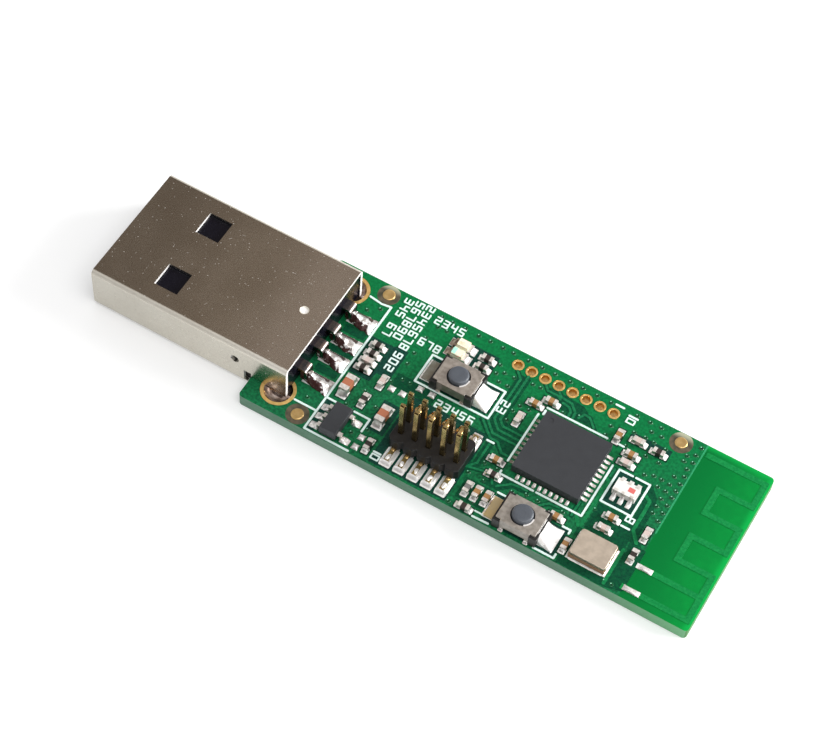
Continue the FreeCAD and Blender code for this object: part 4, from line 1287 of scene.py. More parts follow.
@dataclass
class BoardPrint(Part):
    """What is under and on the board's lacquer: tracks, gaps, vias, ink and marks."""

    gap_top: float = 0.004
    hollow_top: float = 0.016
    feed_top: float = 0.027
    track_top: float = 0.038
    ink_top: float = 0.052
    track_wide: float = 0.2
    ditch_wide: float = 0.42
    feed_wide: float = 0.3
    ink_wide: float = 0.18
    stroke_wide: float = 0.135
    digit_high: float = 0.8
    digit_wide: float = 0.42
    digit_step: float = 0.74
    via_radius: float = 0.14
    via_row_y: float = 7.45
    via_column_x: float = 34.45
    via_inner_x: float = 33.75
    pit_share: float = 0.6
    pit_top: float = 0.022
    glint_share: float = 0.42
    glint_away: Point = (-0.5, 0.45)
    glint_top: float = 0.045
    mark_ring: float = 0.99
    edge_y: float = 7.97
    marks: tuple[Point, ...] = ((5.05, -7.0), (5.4, 7.0), (32.8, 7.05))
    mark_crown: tuple[Point, ...] = ((0.53, 0.02), (0.5, 0.055), (0.42, 0.075), (0.33, 0.06), (0.1, 0.06))
    via_crown: tuple[Point, ...] = ((1.45, 0.001), (1.2, 0.03), (0.95, 0.036), (0.5, 0.012))

    def tracks(self) -> list[list[Point]]:
        """Returns the lines of the narrow tracks that show in the lacquer."""
        return [
            [(18.2, 6.1), (18.8, 5.5), (18.8, 1.05), (19.6, 0.25), (21.6, 0.25)],
            [(19.25, 6.1), (19.25, 1.25), (19.75, 0.75), (21.6, 0.75)],
            [(18.1, 1.0), (18.7, 0.4), (19.35, -0.25), (21.6, -0.25)],
            [(18.0, 0.55), (18.9, -0.3), (19.45, -0.75), (20.1, -0.75), (20.85, -1.5), (21.6, -1.5)],
            [(20.85, 6.1), (21.25, 5.7), (22.3, 5.7), (22.5, 5.5)],
            [(22.1, 6.1), (22.5, 5.72), (23.5, 5.65), (24.15, 5.0), (24.2, 4.4)],
            [(22.85, 5.3), (23.5, 5.2), (23.8, 4.85), (23.8, 4.4)],
            [(24.6, 4.7), (24.9, 5.25), (25.4, 5.2), (26.1, 4.5)],
            [(19.65, -1.3), (19.65, -3.35), (19.15, -3.95)],
            [(18.95, -4.1), (20.4, -3.75)],
            [(22.0, -4.4), (22.9, -3.65), (23.6, -3.5), (24.3, -3.5)],
            [(25.7, -4.2), (26.3, -3.6), (27.2, -3.5)],
            [(28.35, -2.2), (28.35, -3.6)],
            [(21.3, -3.85), (21.6, -4.4)],
            [(29.35, 2.0), (29.35, 1.2)],
        ]

    def feeds(self) -> list[list[Point]]:
        """Returns the lines of the wide pale tracks."""
        return [
            [(29.4, -0.4), (29.4, -4.0)],
            [(29.1, 1.0), (29.6, 0.6), (29.1, -0.6)],
            [(32.6, 1.1), (33.1, 0.8), (33.15, 0.0), (33.15, -2.2), (33.9, -3.15)],
            [(33.3, -4.2), (33.3, -7.6)],
            [(28.7, -3.4), (29.2, -4.1)],
        ]

    def hollows(self) -> list[list[Point]]:
        """Returns the outlines of the softly dark patches between tracks."""
        return [
            [
                (18.45, 5.9), (19.6, 5.9), (19.6, 1.4), (20.0, 1.15), (21.5, 1.15), (21.5, -1.75),
                (20.8, -1.75), (20.0, -1.1), (19.3, -1.05), (18.45, -0.2), (17.7, 0.4), (18.45, 1.2),
            ],
            [(20.6, 6.05), (22.9, 6.05), (24.55, 5.9), (26.5, 4.45), (23.4, 4.45), (22.3, 5.2)],
            [(19.3, -1.2), (20.0, -1.2), (20.0, -3.5), (19.3, -4.4), (18.9, -4.4), (19.3, -3.4)],
            [(20.6, -4.7), (22.3, -4.7), (23.2, -3.9), (24.5, -3.8), (24.5, -3.35), (22.2, -3.35)],
            [(29.7, -1.4), (32.3, -1.4), (32.3, -2.0), (30.4, -2.4), (30.4, -4.0), (29.7, -4.0)],
            patch(29.3, -4.2, 33.45, -5.0),
            patch(29.2, -7.1, 33.2, -7.9),
            [
                (30.4, 2.3), (32.6, 2.3), (33.5, 1.3), (33.75, 0.2), (33.75, -2.4), (34.4, -3.3),
                (33.6, -3.4), (32.7, -2.6), (32.5, 1.0),
            ],
            [(20.1, -4.9), (22.3, -4.9), (22.3, -6.9), (19.6, -6.9), (19.6, -4.9)],
            patch(10.0, 0.75, 13.8, -0.55),
            [(33.4, -3.4), (34.9, -3.4), (34.9, -7.5), (33.2, -7.9), (33.2, -5.0), (33.6, -4.2)],
            [(30.2, -2.2), (33.2, -2.2), (33.4, -4.3), (30.2, -4.3)],
            patch(3.9, 2.7, 5.9, 1.9),
            patch(3.9, -1.9, 5.9, -2.6),
            patch(3.9, 0.4, 5.9, -0.3),
        ]

    def gaps(self) -> list[list[Point]]:
        """Returns the outlines of the dark patches that have no copper."""
        return [
            [
                (6.3, 2.75), (8.35, 2.75), (8.6, 2.9), (9.7, 2.9), (9.7, -0.25), (8.45, -0.25),
                (8.35, -1.25), (6.3, -1.25),
            ],
            patch(6.3, -4.5, 6.95, -7.9),
            patch(11.7, 3.65, 18.1, 0.95),
            patch(12.1, -0.6, 19.15, -7.75),
            patch(10.35, -2.1, 11.95, -5.2),
            patch(22.4, -4.95, 28.8, -7.7),
            patch(29.75, 2.1, 32.3, -1.1),
            patch(12.1, 6.4, 16.4, 4.3),
            patch(29.0, 5.9, 32.6, 5.0),
        ]

    def vias(self) -> list[Point]:
        """Returns the places of the vias."""
        row = (
            10.3, 11.3, 12.5, 13.8, 14.9, 16.1, 17.1, 18.5, 19.8, 21.0, 22.4, 23.6, 24.9, 26.2, 28.6,
            29.8, 30.8,
        )
        column = (7.45, 5.85, 4.3, 3.5, 2.75, 2.05, 1.2, 0.4, -0.45)
        inner = (6.2, 5.6, 3.9, 3.05, 2.3, 1.5, 0.7, 0.0)
        loose = [
            (34.35, 6.6), (34.3, 5.05), (32.3, 3.1), (33.0, 3.1), (31.6, 2.8), (33.0, 2.35),
            (30.3, 6.7), (31.2, 6.7), (29.1, 5.9), (30.1, 5.95), (30.9, 5.9), (32.0, 5.8),
            (29.1, 4.4), (30.9, 4.4), (32.1, 4.4), (27.2, 5.45), (27.2, 4.45), (19.45, -4.45),
            (20.9, -4.5), (10.15, 4.9), (10.1, 3.1), (10.15, 1.9), (8.6, -2.2), (7.9, -4.1),
            (10.1, -3.1), (10.6, -5.3), (9.9, -0.3), (11.3, 0.35), (10.6, 0.35), (17.4, 5.35),
            (17.4, 4.35), (18.2, 4.35), (18.3, 5.35), (19.9, 5.6), (20.6, 5.65), (24.6, 4.9),
            (23.3, 4.5), (24.4, -3.8), (25.45, -3.85), (27.6, -3.7), (29.7, -2.1), (33.25, -7.4),
            (33.9, -7.4), (20.15, -3.0), (21.3, -3.0), (23.3, -4.2), (20.0, 3.2), (20.8, 3.25),
            (19.7, 2.5), (19.7, 1.45), (11.3, 7.2), (11.35, 6.4), (10.5, 6.4), (5.5, 5.4),
            (4.6, 4.75), (9.6, -6.2), (16.7, 5.85), (16.8, 4.95), (19.4, -7.6), (21.1, -6.7),
            (4.9, -5.2),
        ]
        edge = [(x, self.via_row_y) for x in row] + [(self.via_column_x, y) for y in column]
        return edge + [(self.via_inner_x, y) for y in inner] + loose

    def lines(self) -> list[list[Point]]:
        """Returns the ink lines."""
        return [
            [(4.15, 6.05), (5.35, 5.88), (6.2, 6.0), (6.2, -7.85), (10.3, -7.85)],
            [(4.15, -5.95), (6.1, -5.95)],
            [(6.3, -4.4), (7.1, -4.4)],
            [(8.85, -4.4), (10.3, -4.4), (10.3, -5.7)],
            [(12.6, 3.75), (11.5, 3.75), (11.5, 0.75), (18.35, 0.75), (18.35, 3.75), (16.6, 3.75)],
            [(22.0, 3.5), (22.0, 3.9)],
            [(22.0, 4.22), (27.5, 4.22)],
            [(28.6, 4.22), (29.0, 4.22)],
            [(29.05, 2.2), (29.05, -3.25), (25.0, -3.25)],
            [(24.7, -3.25), (21.65, -3.25), (21.65, -2.95)],
            [(21.65, -1.85), (21.65, 3.3)],
            [(29.7, 2.15), (30.9, 2.15)],
            [(31.2, 2.15), (32.45, 2.15), (32.45, -1.2), (29.7, -1.2), (29.7, 2.15)],
            [(22.4, -4.85), (23.15, -4.85)],
            [(28.25, -4.85), (28.95, -4.85), (28.95, -5.2)],
            [(27.15, -7.75), (28.95, -7.75), (28.95, -7.35)],
            [(21.7, -7.8), (23.1, -7.75)],
            [(26.65, 7.5), (27.35, 7.5)],
            [(19.3, -1.05), (19.9, -1.05)],
            [(12.1, -6.78), (12.7, -6.78)],
            [(32.15, -2.35), (32.85, -2.35)],
            [(28.05, 7.1), (28.8, 7.1)],
        ]

    def numbers(self) -> list[tuple[str, Point, float]]:
        """Returns plain digits, the place of each row and its reading direction in degrees."""
        return [
            ("345", (6.85, 7.5), -90.0),
            ("67", (6.85, 4.6), -90.0),
            ("567890", (7.8, 7.7), -90.0),
            ("2345678", (8.75, 7.8), -90.0),
            ("902", (8.75, 2.4), -90.0),
            ("2345", (10.0, 6.6), 0.0),
            ("678", (9.85, 4.05), 0.0),
            ("23456", (14.05, -0.5), 0.0),
            ("23", (18.55, 2.95), -90.0),
            ("0", (12.1, -7.0), -90.0),
            ("1", (21.65, -6.85), -90.0),
            ("0", (28.05, 6.85), -90.0),
            ("8", (32.2, -1.35), -90.0),
        ]

    def build(self) -> None:
        """Makes the layers and dresses the board."""
        self.model.dress("circuit_board", LACQUER)
        for node in ("leg_hole_plating", "test_hole_plating"):
            self.model.dress(node, GILT, Rounding(0.05))
        self.model.dress("solder_lands", Lands())
        bare = self.model.shape()
        for outline in self.gaps():
            bare.film(outline, self.gap_top)
        for outline in self.hollows():
            bare.film(outline, self.hollow_top, 1)
        bare.make("copper_gaps", Slot.LACQUER, [GAP, HOLLOW])
        tracks = self.model.shape()
        for path in self.tracks():
            tracks.strip(path, self.ditch_wide, self.feed_top - 2 * LAYER_STEP * LAYERS, 1)
        for path in self.feeds():
            tracks.strip(path, self.feed_wide, self.feed_top, 2)
        for path in self.tracks():
            tracks.strip(path, self.track_wide, self.track_top)
        tracks.make("copper_tracks", Slot.MASKED, [TRACK, HOLLOW, FEED])
        self.build_vias()
        self.build_ink()
        rings = self.model.shape()
        for mark in self.marks:
            ring = circle(mark, self.mark_ring, 48)
            rings.film([(x, max(-self.edge_y, min(self.edge_y, y))) for x, y in ring], self.gap_top)
            rings.turned(mark, self.mark_crown, 32, 1)
        rings.make("mark_clearings", Slot.LACQUER, [CLEARING, MARK], smooth=70.0)

    def build_vias(self) -> None:
        """Makes the lacquered vias: a low swelling round a small pit whose dark disc is painted shade,
        with a painted highlight beside it.
        """
        shape = self.model.shape()
        r = self.via_radius
        for x, y in self.vias():
            shape.turned((x, y), [(r * share, high) for share, high in self.via_crown], 18)
            shape.prism(circle((x, y), r * self.pit_share, 12), 0.0, self.pit_top, 1)
            spot = (x + r * self.glint_away[0], y + r * self.glint_away[1])
            shape.prism(circle(spot, r * self.glint_share, 8), 0.0, self.glint_top, 2)
        shape.make("vias", Slot.MASKED, [VIA, PIT, GLINT], smooth=60.0)

    def build_ink(self) -> None:
        """Makes the ink lines and plain digits."""
        shape = self.model.shape()
        for path in self.lines():
            shape.strip(path, self.ink_wide, self.ink_top)
        for text, start, turn in self.numbers():
            way = Vector((math.cos(math.radians(turn)), math.sin(math.radians(turn))))
            rise = Vector((-way.y, way.x)) * (self.digit_high - self.stroke_wide)
            for place, letter in enumerate(text):
                corner = Vector(start) + way * place * self.digit_step
                for name in DIGITS[int(letter)]:
                    ends = [corner + way * u * self.digit_wide + rise * v for u, v in STROKES[name]]
                    shape.strip([tuple(end) for end in ends], self.stroke_wide, self.ink_top)
        shape.make("ink_lines", Slot.LACQUER, [INK])


@dataclass
class Plug(Part):
    """The plug's shell, moulding, contacts and solder."""

    rows: tuple[float, ...] = (-3.5, -1.0, 1.0, 3.5)

    def build(self) -> None:
        """Dresses the plug's nodes and makes its solder."""
        self.model.dress("usb_shell", NICKEL)
        self.model.dress("usb_insulator", TONGUE)
        for node in ("usb_power_contacts", "usb_data_contacts"):
            self.model.dress(node, STRIP)
        heaps = self.model.shape()
        for row in self.rows:
            heaps.lump(Heap(row))
        heaps.make("tail_solder", Slot.SOLDER, [SHADED_SOLDER], smooth=70.0, instead_of="contact_solder")
        pools = self.model.shape()
        for side in (-1.0, 1.0):
            pools.lump(Pool(side))
        pools.make("leg_pools", Slot.SOLDER, [POOL], smooth=70.0, instead_of="leg_solder")


@dataclass
class Header(Part):
    """The two-row pin header, with solder on the tip, flanks and heel of each foot.

    The cap and the heel are domes, each given by how far it lies behind the foot's end,
    its size, how far it swells and the height of its rim.
    """

    near_y: float = -5.0
    last_from: float = 18.0
    tip_reach: float = 0.38
    tip_wide: float = 0.8
    near_wide: float = 1.04
    high: float = 0.42
    flank_out: float = 0.19
    flank_reach: float = 0.34
    flank_long: float = 1.5
    cap: tuple[float, Point, float, float] = (0.42, (0.5, 0.95), 0.26, 0.24)
    heel: tuple[float, Point, float, float] = (1.25, (0.44, 0.7), 0.1, 0.36)

    def build(self) -> None:
        """Dresses the header and makes its solder."""
        self.model.dress("header_body", HOUSING, Rounding(0.05))
        self.model.dress("header_pins", BRASS, Rounding(0.03))
        shape = self.model.shape()
        for low, high in self.model.solids("header_pins"):
            x = (low.x + high.x) / 2
            near = low.y < self.near_y
            end, turn, wide = (low.y, -1.0, self.near_wide) if near else (high.y, 1.0, self.tip_wide)
            paint = 2 if near else 0 if x > self.last_from else 1
            shape.lump(Toe((x, end), (0.0, turn), self.tip_reach, wide, self.high, x), paint)
            for side in (-1.0, 1.0):
                flank = (x + side * self.flank_out, end - turn * self.flank_long / 2)
                form = Toe(flank, (side, 0.0), self.flank_reach, self.flank_long, self.high, x + side)
                shape.lump(form, paint)
            for (back, size, swell, rim), tone in ((self.cap, paint), (self.heel, 1)):
                shape.lump(Dome((x, end - turn * back), size, swell, rim, x), tone)
        shape.make("header_solder", Slot.SOLDER, [SHEEN, AMBER, FOOT], smooth=60.0)


@dataclass
class RadioChip(Part):
    """The square radio chip with its rows of lands.

    A side is the way that it faces, how far out its solder starts and its paint.
    """

    pitch: float = 0.5
    lands: int = 10
    reach: float = 0.5
    wide: float = 0.29
    high: float = 0.17
    sides: tuple[tuple[Point, float, int], ...] = (
        ((1.0, 0.0), 0.0, 0),
        # The left row's solder takes painted shade.
        ((-1.0, 0.0), 0.1, 1),
        ((0.0, 1.0), 0.0, 0),
        ((0.0, -1.0), 0.1, 0),
    )

    def build(self) -> None:
        """Dresses the chip and makes the solder at its leads."""
        self.model.dress("soc_body", PACKAGE)
        # The leads take painted shade.
        self.model.dress("soc_leads", SHADED_GREEN_TIN)
        shape = self.model.shape()
        low, high = self.model.solids("soc_body")[0]
        x0, y0, half = (low.x + high.x) / 2, (low.y + high.y) / 2, (high.x - low.x) / 2
        for way, start, paint in self.sides:
            out = half + start
            for i in range(self.lands):
                shift = (i - (self.lands - 1) / 2) * self.pitch
                heel = (x0 + way[0] * out - way[1] * shift, y0 + way[1] * out + way[0] * shift)
                shape.lump(Toe(heel, way, self.reach - start, self.wide, self.high, shift), paint)
        shape.make("radio_chip_solder", Slot.SOLDER, [SHEEN, SHADED_GREEN_TIN], smooth=60.0)


@dataclass
class Regulator(Part):
    """The five-lead regulator."""

    reach: float = 0.42
    wide: float = 0.62
    high: float = 0.24
    cap_back: float = 0.15
    cap_long: float = 0.42
    cap_high: float = 0.15
    cap_rim: float = 0.12

    def build(self) -> None:
        """Dresses the regulator and makes its solder."""
        self.model.dress("regulator_body", PACKAGE, Rounding(0.04))
        self.model.dress("regulator_leads", TIN, Rounding(0.03))
        shape = self.model.shape()
        body_low, body_high = self.model.solids("regulator_body")[0]
        for low, high in self.model.solids("regulator_leads"):
            y = (low.y + high.y) / 2
            left = high.x < (body_low.x + body_high.x) / 2
            end, turn = (low.x, -1.0) if left else (high.x, 1.0)
            shape.lump(Toe((end, y), (turn, 0.0), self.reach, self.wide, self.high, y))
            cap = (end - turn * self.cap_back, y)
            shape.lump(Dome(cap, (self.cap_long, self.wide), self.cap_high, self.cap_rim, y))
        shape.make("regulator_solder", Slot.SOLDER, [SOLDER], smooth=60.0)


@dataclass
class PushSwitch(Part):
    """A small push switch: cover, frame, terminals, dome and button.

    A toe is its reach, width and height. The crown is how far its points lie inward and
    down from the button's upper edge.
    """

    name: str
    body: str
    joint: str
    terminal: Finish
    cover: Finish
    pole: float = 0.02
    spring_share: float = 0.16
    spring_thick: float = 0.05
    spring_crown: float = 0.45
    spring_sides: int = 48
    rim: float = 0.87
    foot_rim: float = 1.05
    foot_steps: Place = (0.01, 0.3, 0.34)
    crown: tuple[Point, ...] = ((0.0, 0.16), (0.03, 0.08), (0.09, 0.03), (0.18, 0.008), (0.4, 0.0))
    crown_end: float = 0.15
    key_sides: int = 64
    slope_in: float = 0.15
    corner: Point = (1.12, 1.38)
    corner_toe: Place = (0.2, 0.42, 0.22)
    # The bright arc on the cover is a painted highlight.
    glint_radii: Point = (1.03, 0.905)
    glint_from: float = -58.0
    glint_to: float = 6.0
    glint_low: float = 1.2
    glint_high: float = 1.343
    left_out: float = 0.95
    left_toe: Place = (0.16, 2.0, 0.12)

    def build(self) -> None:
        """Dresses the switch and makes its dome, button and solder."""
        self.model.dress(self.name + "_base", BLACK)
        self.model.dress(self.name + "_cover", self.cover, Rounding(0.04))
        self.model.dress(self.name + "_terminals", self.terminal, Rounding(0.04))
        low, high = self.model.solids(self.name + "_button")[0]
        centre = ((low.x + high.x) / 2, (low.y + high.y) / 2)
        self.spring(centre)
        self.key(centre, low.z, high.z)
        self.solder(centre)

    def spring(self, centre: Point) -> None:
        """Makes the snap dome.

        Args:
            centre: The button's axis on the board.
        """
        low, high = self.model.solids(self.name + "_dome")[0]
        rim, thick, crown = (high.x - low.x) / 2, self.spring_thick, self.spring_crown
        shape = self.model.shape()
        profile = [
            (self.pole, high.z - thick), (crown - thick, high.z - thick), (rim - thick, low.z),
            (rim, low.z), (crown, high.z), (self.pole, high.z),
        ]
        shape.turned(centre, profile, self.spring_sides)
        name = self.name + "_spring"
        piece = shape.make(name, Slot.DOME, [SPRING], smooth=20.0, instead_of=self.name + "_dome")
        anchor = shape.ground.point(centre[0], centre[1], low.z)
        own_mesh(piece)

    def key(self, centre: Point, low: float, high: float) -> None:
        """Makes the button, a flanged foot under a round crown.

        Args:
            centre: Its axis on the board.
            low: The height of its underside.
            high: The height of its top.
        """
        shape = self.model.shape()
        first, second, third = self.foot_steps
        profile = [(self.foot_rim, low + first), (self.foot_rim, low + second), (self.rim, low + third)]
        profile += [(self.rim - inward, high - down) for inward, down in self.crown]
        shape.turned(centre, [*profile, (self.crown_end, high)], self.key_sides)
        node = self.name + "_button"
        name = self.name + "_key"
        shape.make(name, Slot.BUTTON, [BUTTON], smooth=38.0, instead_of=node, body=self.body)

    def solder(self, centre: Point) -> None:
        """Makes the solder on the end walls and at the corners, and the bright arc on the cover, a painted
        highlight.

        Args:
            centre: The button's axis on the board.
        """
        x, y = centre
        shape = self.model.shape()
        low, high = self.model.solids(self.name + "_base")[0]
        shape.lump(Slope(high.x - self.slope_in, y), 1)
        for turn in (-1.0, 1.0):
            for side in (-1.0, 1.0):
                heel = (x + side * self.corner[0], y + turn * self.corner[1])
                shape.lump(Toe(heel, (0.0, turn), *self.corner_toe, side))
        # Painted highlight: a bright arc in the gap round the button.
        outer, inner = (arc(centre, r, self.glint_from, self.glint_to, 8) for r in self.glint_radii)
        shape.prism(outer + inner[::-1], self.glint_low, self.glint_high, 1)
        left = low.x - self.left_out
        shape.lump(Toe((left, y), (-1.0, 0.0), *self.left_toe, left))
        shape.make(self.name + "_solder", Slot.SOLDER, [SHEEN, FOOT], smooth=60.0)


@dataclass
class ChipParts(Part):
    """The small two-ended parts, each with tinned ends and fillets of solder."""

    cap_share: float = 0.29
    cap_overlap: float = 0.8
    cap_proud: float = 0.012
    toe_climb: float = 0.72
    toe_wide: float = 1.12
    large_from: float = 1.3
    small_reach: float = 0.3
    large_reach: float = 0.42
    shadow_gap_side: float = 0.15
    shadow_gap_end: float = 0.1
    gap_top: float = 0.004
    edge_y: float = 7.95

    def finishes(self) -> dict[str, tuple[Finish, Slot]]:
        """Returns each node's body finish and slot."""
        made: dict[str, tuple[Finish, Slot]] = {
            "usb_resistors": (DARK, Slot.DARK),
            "led_resistors": (DARK, Slot.DARK),
            "supply_capacitors": (TAN, Slot.TAN),
            "bulk_capacitor_1": (ORANGE, Slot.TAN),
            "bulk_capacitor_2": (ORANGE, Slot.TAN),
        }
        for i in range(1, 7):
            made[f"resistor_{i}"] = (DARK, Slot.DARK)
            made[f"inductor_{i}"] = (PALE, Slot.WHITE)
        for i in range(1, 11):
            made[f"capacitor_{i}"] = (TAN, Slot.TAN)
        made["capacitor_5"] = (GREY, Slot.TAN)
        made["capacitor_1"] = (PALE, Slot.TAN)
        return made

    def build(self) -> None:
        """Makes every part in place of its node."""
        # The dark bands round the parts: lacquer gaps with painted shadow.
        bare = self.model.shape()
        edges = Rounding(0.025, 2, 50.0)
        for node, (finish, slot) in self.finishes().items():
            shape = self.model.shape()
            for low, high in self.model.solids(node):
                self.part(shape, bare, low, high)
            paints = [finish, TIN, SOLDER]
            shape.make(node + "_part", slot, paints, 45.0, edges, instead_of=node)
        bare.make("part_shadows_and_clearings", Slot.LACQUER, [SHADOW_AND_CLEARING])

    def part(self, shape: Shape, bare: Shape, low: Vector, high: Vector) -> None:
        """Adds one part, and the dark band round it: a gap in the lacquer, darkened further as painted
        shadow.

        Args:
            shape: The shape that the part is added to.
            bare: The shape that the dark band is added to.
            low: The lowest corner of its solid.
            high: The highest corner.
        """
        long = 0 if high.x - low.x > high.y - low.y else 1
        length = high[long] - low[long]
        reach = self.small_reach if length < self.large_from else self.large_reach
        # The dark band round a part: a gap in the lacquer with painted shadow.
        wider = Vector((self.shadow_gap_side, self.shadow_gap_side, 0.0))
        wider[long] = reach + self.shadow_gap_end
        a, b = low - wider, high + wider
        bare.film(patch(a.x, max(a.y, -self.edge_y), b.x, min(b.y, self.edge_y)), self.gap_top)
        cap = length * self.cap_share
        inset = Vector((self.cap_proud, self.cap_proud, 0.0))
        inset[long] = cap * self.cap_overlap
        shape.block(low + inset, high - inset - Vector((0.0, 0.0, self.cap_proud)))
        across = (high[1 - long] - low[1 - long]) * self.toe_wide
        climb = (high.z - low.z) * self.toe_climb
        for end, first, last in ((-1.0, low[long], low[long] + cap), (1.0, high[long] - cap, high[long])):
            cap_low, cap_high = low.copy(), high.copy()
            cap_low[long], cap_high[long] = first, last
            shape.block(cap_low, cap_high, 1)
            heel = [(low.x + high.x) / 2, (low.y + high.y) / 2]
            heel[long] = first if end < 0 else last
            way = [0.0, 0.0]
            way[long] = end
            shape.lump(Toe(tuple(heel), tuple(way), reach, across, climb, sum(heel)), 2)


@dataclass
class Diodes(Part):
    """The two light diodes: a base with a lens, two soldered ends and, on one, a green tint.

    The toe is its reach, width and height.
    """

    base_high: float = 0.28
    lens_in: Point = (0.3, 0.04)
    lens_sunk: float = 0.01
    cap_out: float = 0.01
    cap_long: float = 0.26
    cap_proud: float = 0.012
    toe: Place = (0.38, 0.75, 0.24)
    tint_from: float = 0.28
    tint_to: float = 0.62
    tint_in: float = 0.1
    tint_proud: float = 0.006

    def build(self) -> None:
        """Makes each diode in place of its node."""
        out = self.cap_out
        for node in ("led_green", "led_red"):
            shape = self.model.shape()
            for low, high in self.model.solids(node):
                base, y = low.z + self.base_high, (low.y + high.y) / 2
                shape.block(low, (high.x, high.y, base))
                inset = Vector((*self.lens_in, 0.0))
                shape.block((*(low + inset).xy, base - self.lens_sunk), high - inset, 1)
                ends = ((low.x - out, low.x + self.cap_long, 5), (high.x - self.cap_long, high.x + out, 2))
                top = base + self.cap_proud
                for start, end, paint in ends:
                    shape.block((start, low.y - out, low.z), (end, high.y + out, top), paint)
                for heel, turn, paint in ((low.x, -1.0, 5), (high.x, 1.0, 3)):
                    shape.lump(Toe((heel, y), (turn, 0.0), *self.toe, heel), paint)
                if node == "led_red":
                    start = (low.x + self.tint_from, low.y + self.tint_in, base)
                    end = (low.x + self.tint_to, high.y - self.tint_in, high.z + self.tint_proud)
                    shape.block(start, end, 4)
            paints = [DIODE_BASE, RESIN, TIN, SOLDER, MINT, BROWN_SOLDER]
            shape.make(node + "_part", Slot.LENS, paints, 45.0, Rounding(0.03), instead_of=node)


@dataclass
class Crystal(Part):
    """The crystal: a tray with a bright lid."""

    rim: float = 0.16
    rim_high: float = 0.12
    corner: float = 0.22
    overlap: float = 0.035

    def build(self) -> None:
        """Dresses the crystal and makes its lid and solder line."""
        self.model.dress("crystal_base", TRAY, Rounding(0.04))
        low, high = self.model.solids("crystal_can")[0]
        lid = self.model.shape()
        wider = Vector((self.overlap, self.overlap, 0.0))
        lid.prism(rounded(low - wider, high + wider, self.corner), low.z, high.z)
        lid.make("crystal_cap", Slot.LID, [LID], 50.0, Rounding(0.05, 4), instead_of="crystal_can")
        low, high = self.model.solids("crystal_base")[0]
        shape = self.model.shape()
        x, y, wide, deep = (low.x + high.x) / 2, (low.y + high.y) / 2, high.x - low.x, high.y - low.y
        for side in (-1.0, 1.0):
            shape.lump(Toe((x, y + side * deep / 2), (0.0, side), self.rim, wide, self.rim_high, side))
            shape.lump(Toe((x + side * wide / 2, y), (side, 0.0), self.rim, deep, self.rim_high, side))
        shape.make("crystal_solder", Slot.SOLDER, [SOLDER], smooth=60.0)


@dataclass
class Balun(Part):
    """The antenna balun: a pale ceramic block with six tinned ends and a red mark."""

    places: tuple[float, ...] = (30.4, 31.1, 31.8)
    end_wide: float = 0.34
    end_deep: float = 0.22
    side_in: float = 0.02
    top_in: float = 0.012
    toe_reach: Point = (0.62, 0.55)
    toe_wide: float = 0.42
    toe_high: float = 0.4
    mark: tuple[Point, Point] = ((31.25, 0.3), (31.8, 0.75))
    mark_thick: float = 0.015
    mark_down: float = 0.005

    def build(self) -> None:
        """Makes the balun in place of its node."""
        low, high = self.model.solids("balun")[0]
        near_reach, far_reach = self.toe_reach
        shape = self.model.shape()
        shape.block(
            (low.x, low.y + self.side_in, low.z), (high.x, high.y - self.side_in, high.z - self.top_in)
        )
        for x in self.places:
            a, b = x - self.end_wide / 2, x + self.end_wide / 2
            shape.block((a, low.y, low.z), (b, low.y + self.end_deep, high.z), 1)
            shape.block((a, high.y - self.end_deep, low.z), (b, high.y, high.z), 1)
            shape.lump(Toe((x, low.y), (0.0, -1.0), near_reach, self.toe_wide, self.toe_high, x), 2)
            shape.lump(Toe((x, high.y), (0.0, 1.0), far_reach, self.toe_wide, self.toe_high, x + 5), 2)
        top = high.z - self.mark_down
        shape.block((*self.mark[0], top - self.mark_thick), (*self.mark[1], top), 3)
        paints = [PORCELAIN, TIN, SOLDER, RED_MARK]
        shape.make("balun_part", Slot.BALUN, paints, 45.0, Rounding(0.03), instead_of="balun")


@dataclass
class Aerial(Part):
    """The printed antenna, the edge of the copper under the lacquer and the bare pads."""

    edge_x: float = 34.8
    edge_from: float = -1.5
    edge_to: float = 7.9
    edge_wide: float = 0.14
    edge_top: float = 0.01
    pads: tuple[Point, ...] = ((35.0, -4.85), (34.75, -7.1))
    pads_end: float = 36.2
    pad_wide: float = 0.5
    pad_high: float = 0.12
    spare: tuple[Point, ...] = (
        (10.3, -0.9), (11.3, -0.87), (12.3, 0.3), (13.4, 0.3), (10.6, -6.2), (10.6, -7.2),
    )
    spare_size: Point = (0.6, 0.56)
    spare_high: float = 0.13

    def build(self) -> None:
        """Dresses the antenna and makes the copper's edge and the bright pads."""
        self.model.dress("antenna_trace", AERIAL)
        line = self.model.shape()
        ends = [(self.edge_x, self.edge_from), (self.edge_x, self.edge_to)]
        line.strip(ends, self.edge_wide, self.edge_top)
        line.make("copper_edge", Slot.MASKED, [BORDER])
        shape = self.model.shape()
        for x, y in self.pads:
            middle, size = ((x + self.pads_end) / 2, y), (self.pads_end - x, self.pad_wide)
            shape.lump(Dome(middle, size, self.pad_high, LAND_TOP, y))
        for spot in self.spare:
            shape.lump(Dome(spot, self.spare_size, self.spare_high, LAND_TOP, spot[0]))
        shape.make("bare_pad_solder", Slot.SOLDER, [SOLDER], smooth=60.0)


@dataclass(frozen=True)
class Card:
    """A dim card that only shiny faces see; it faces the object, and its places are in metres."""

    name: str
    size: float
    place: Place
    plug_end: Colour
    antenna_end: Colour


@dataclass(frozen=True)
class Lamp:
    """A soft square lamp that faces the object, in metres and watts."""

    name: str
    place: Place
    size: float
    power: float


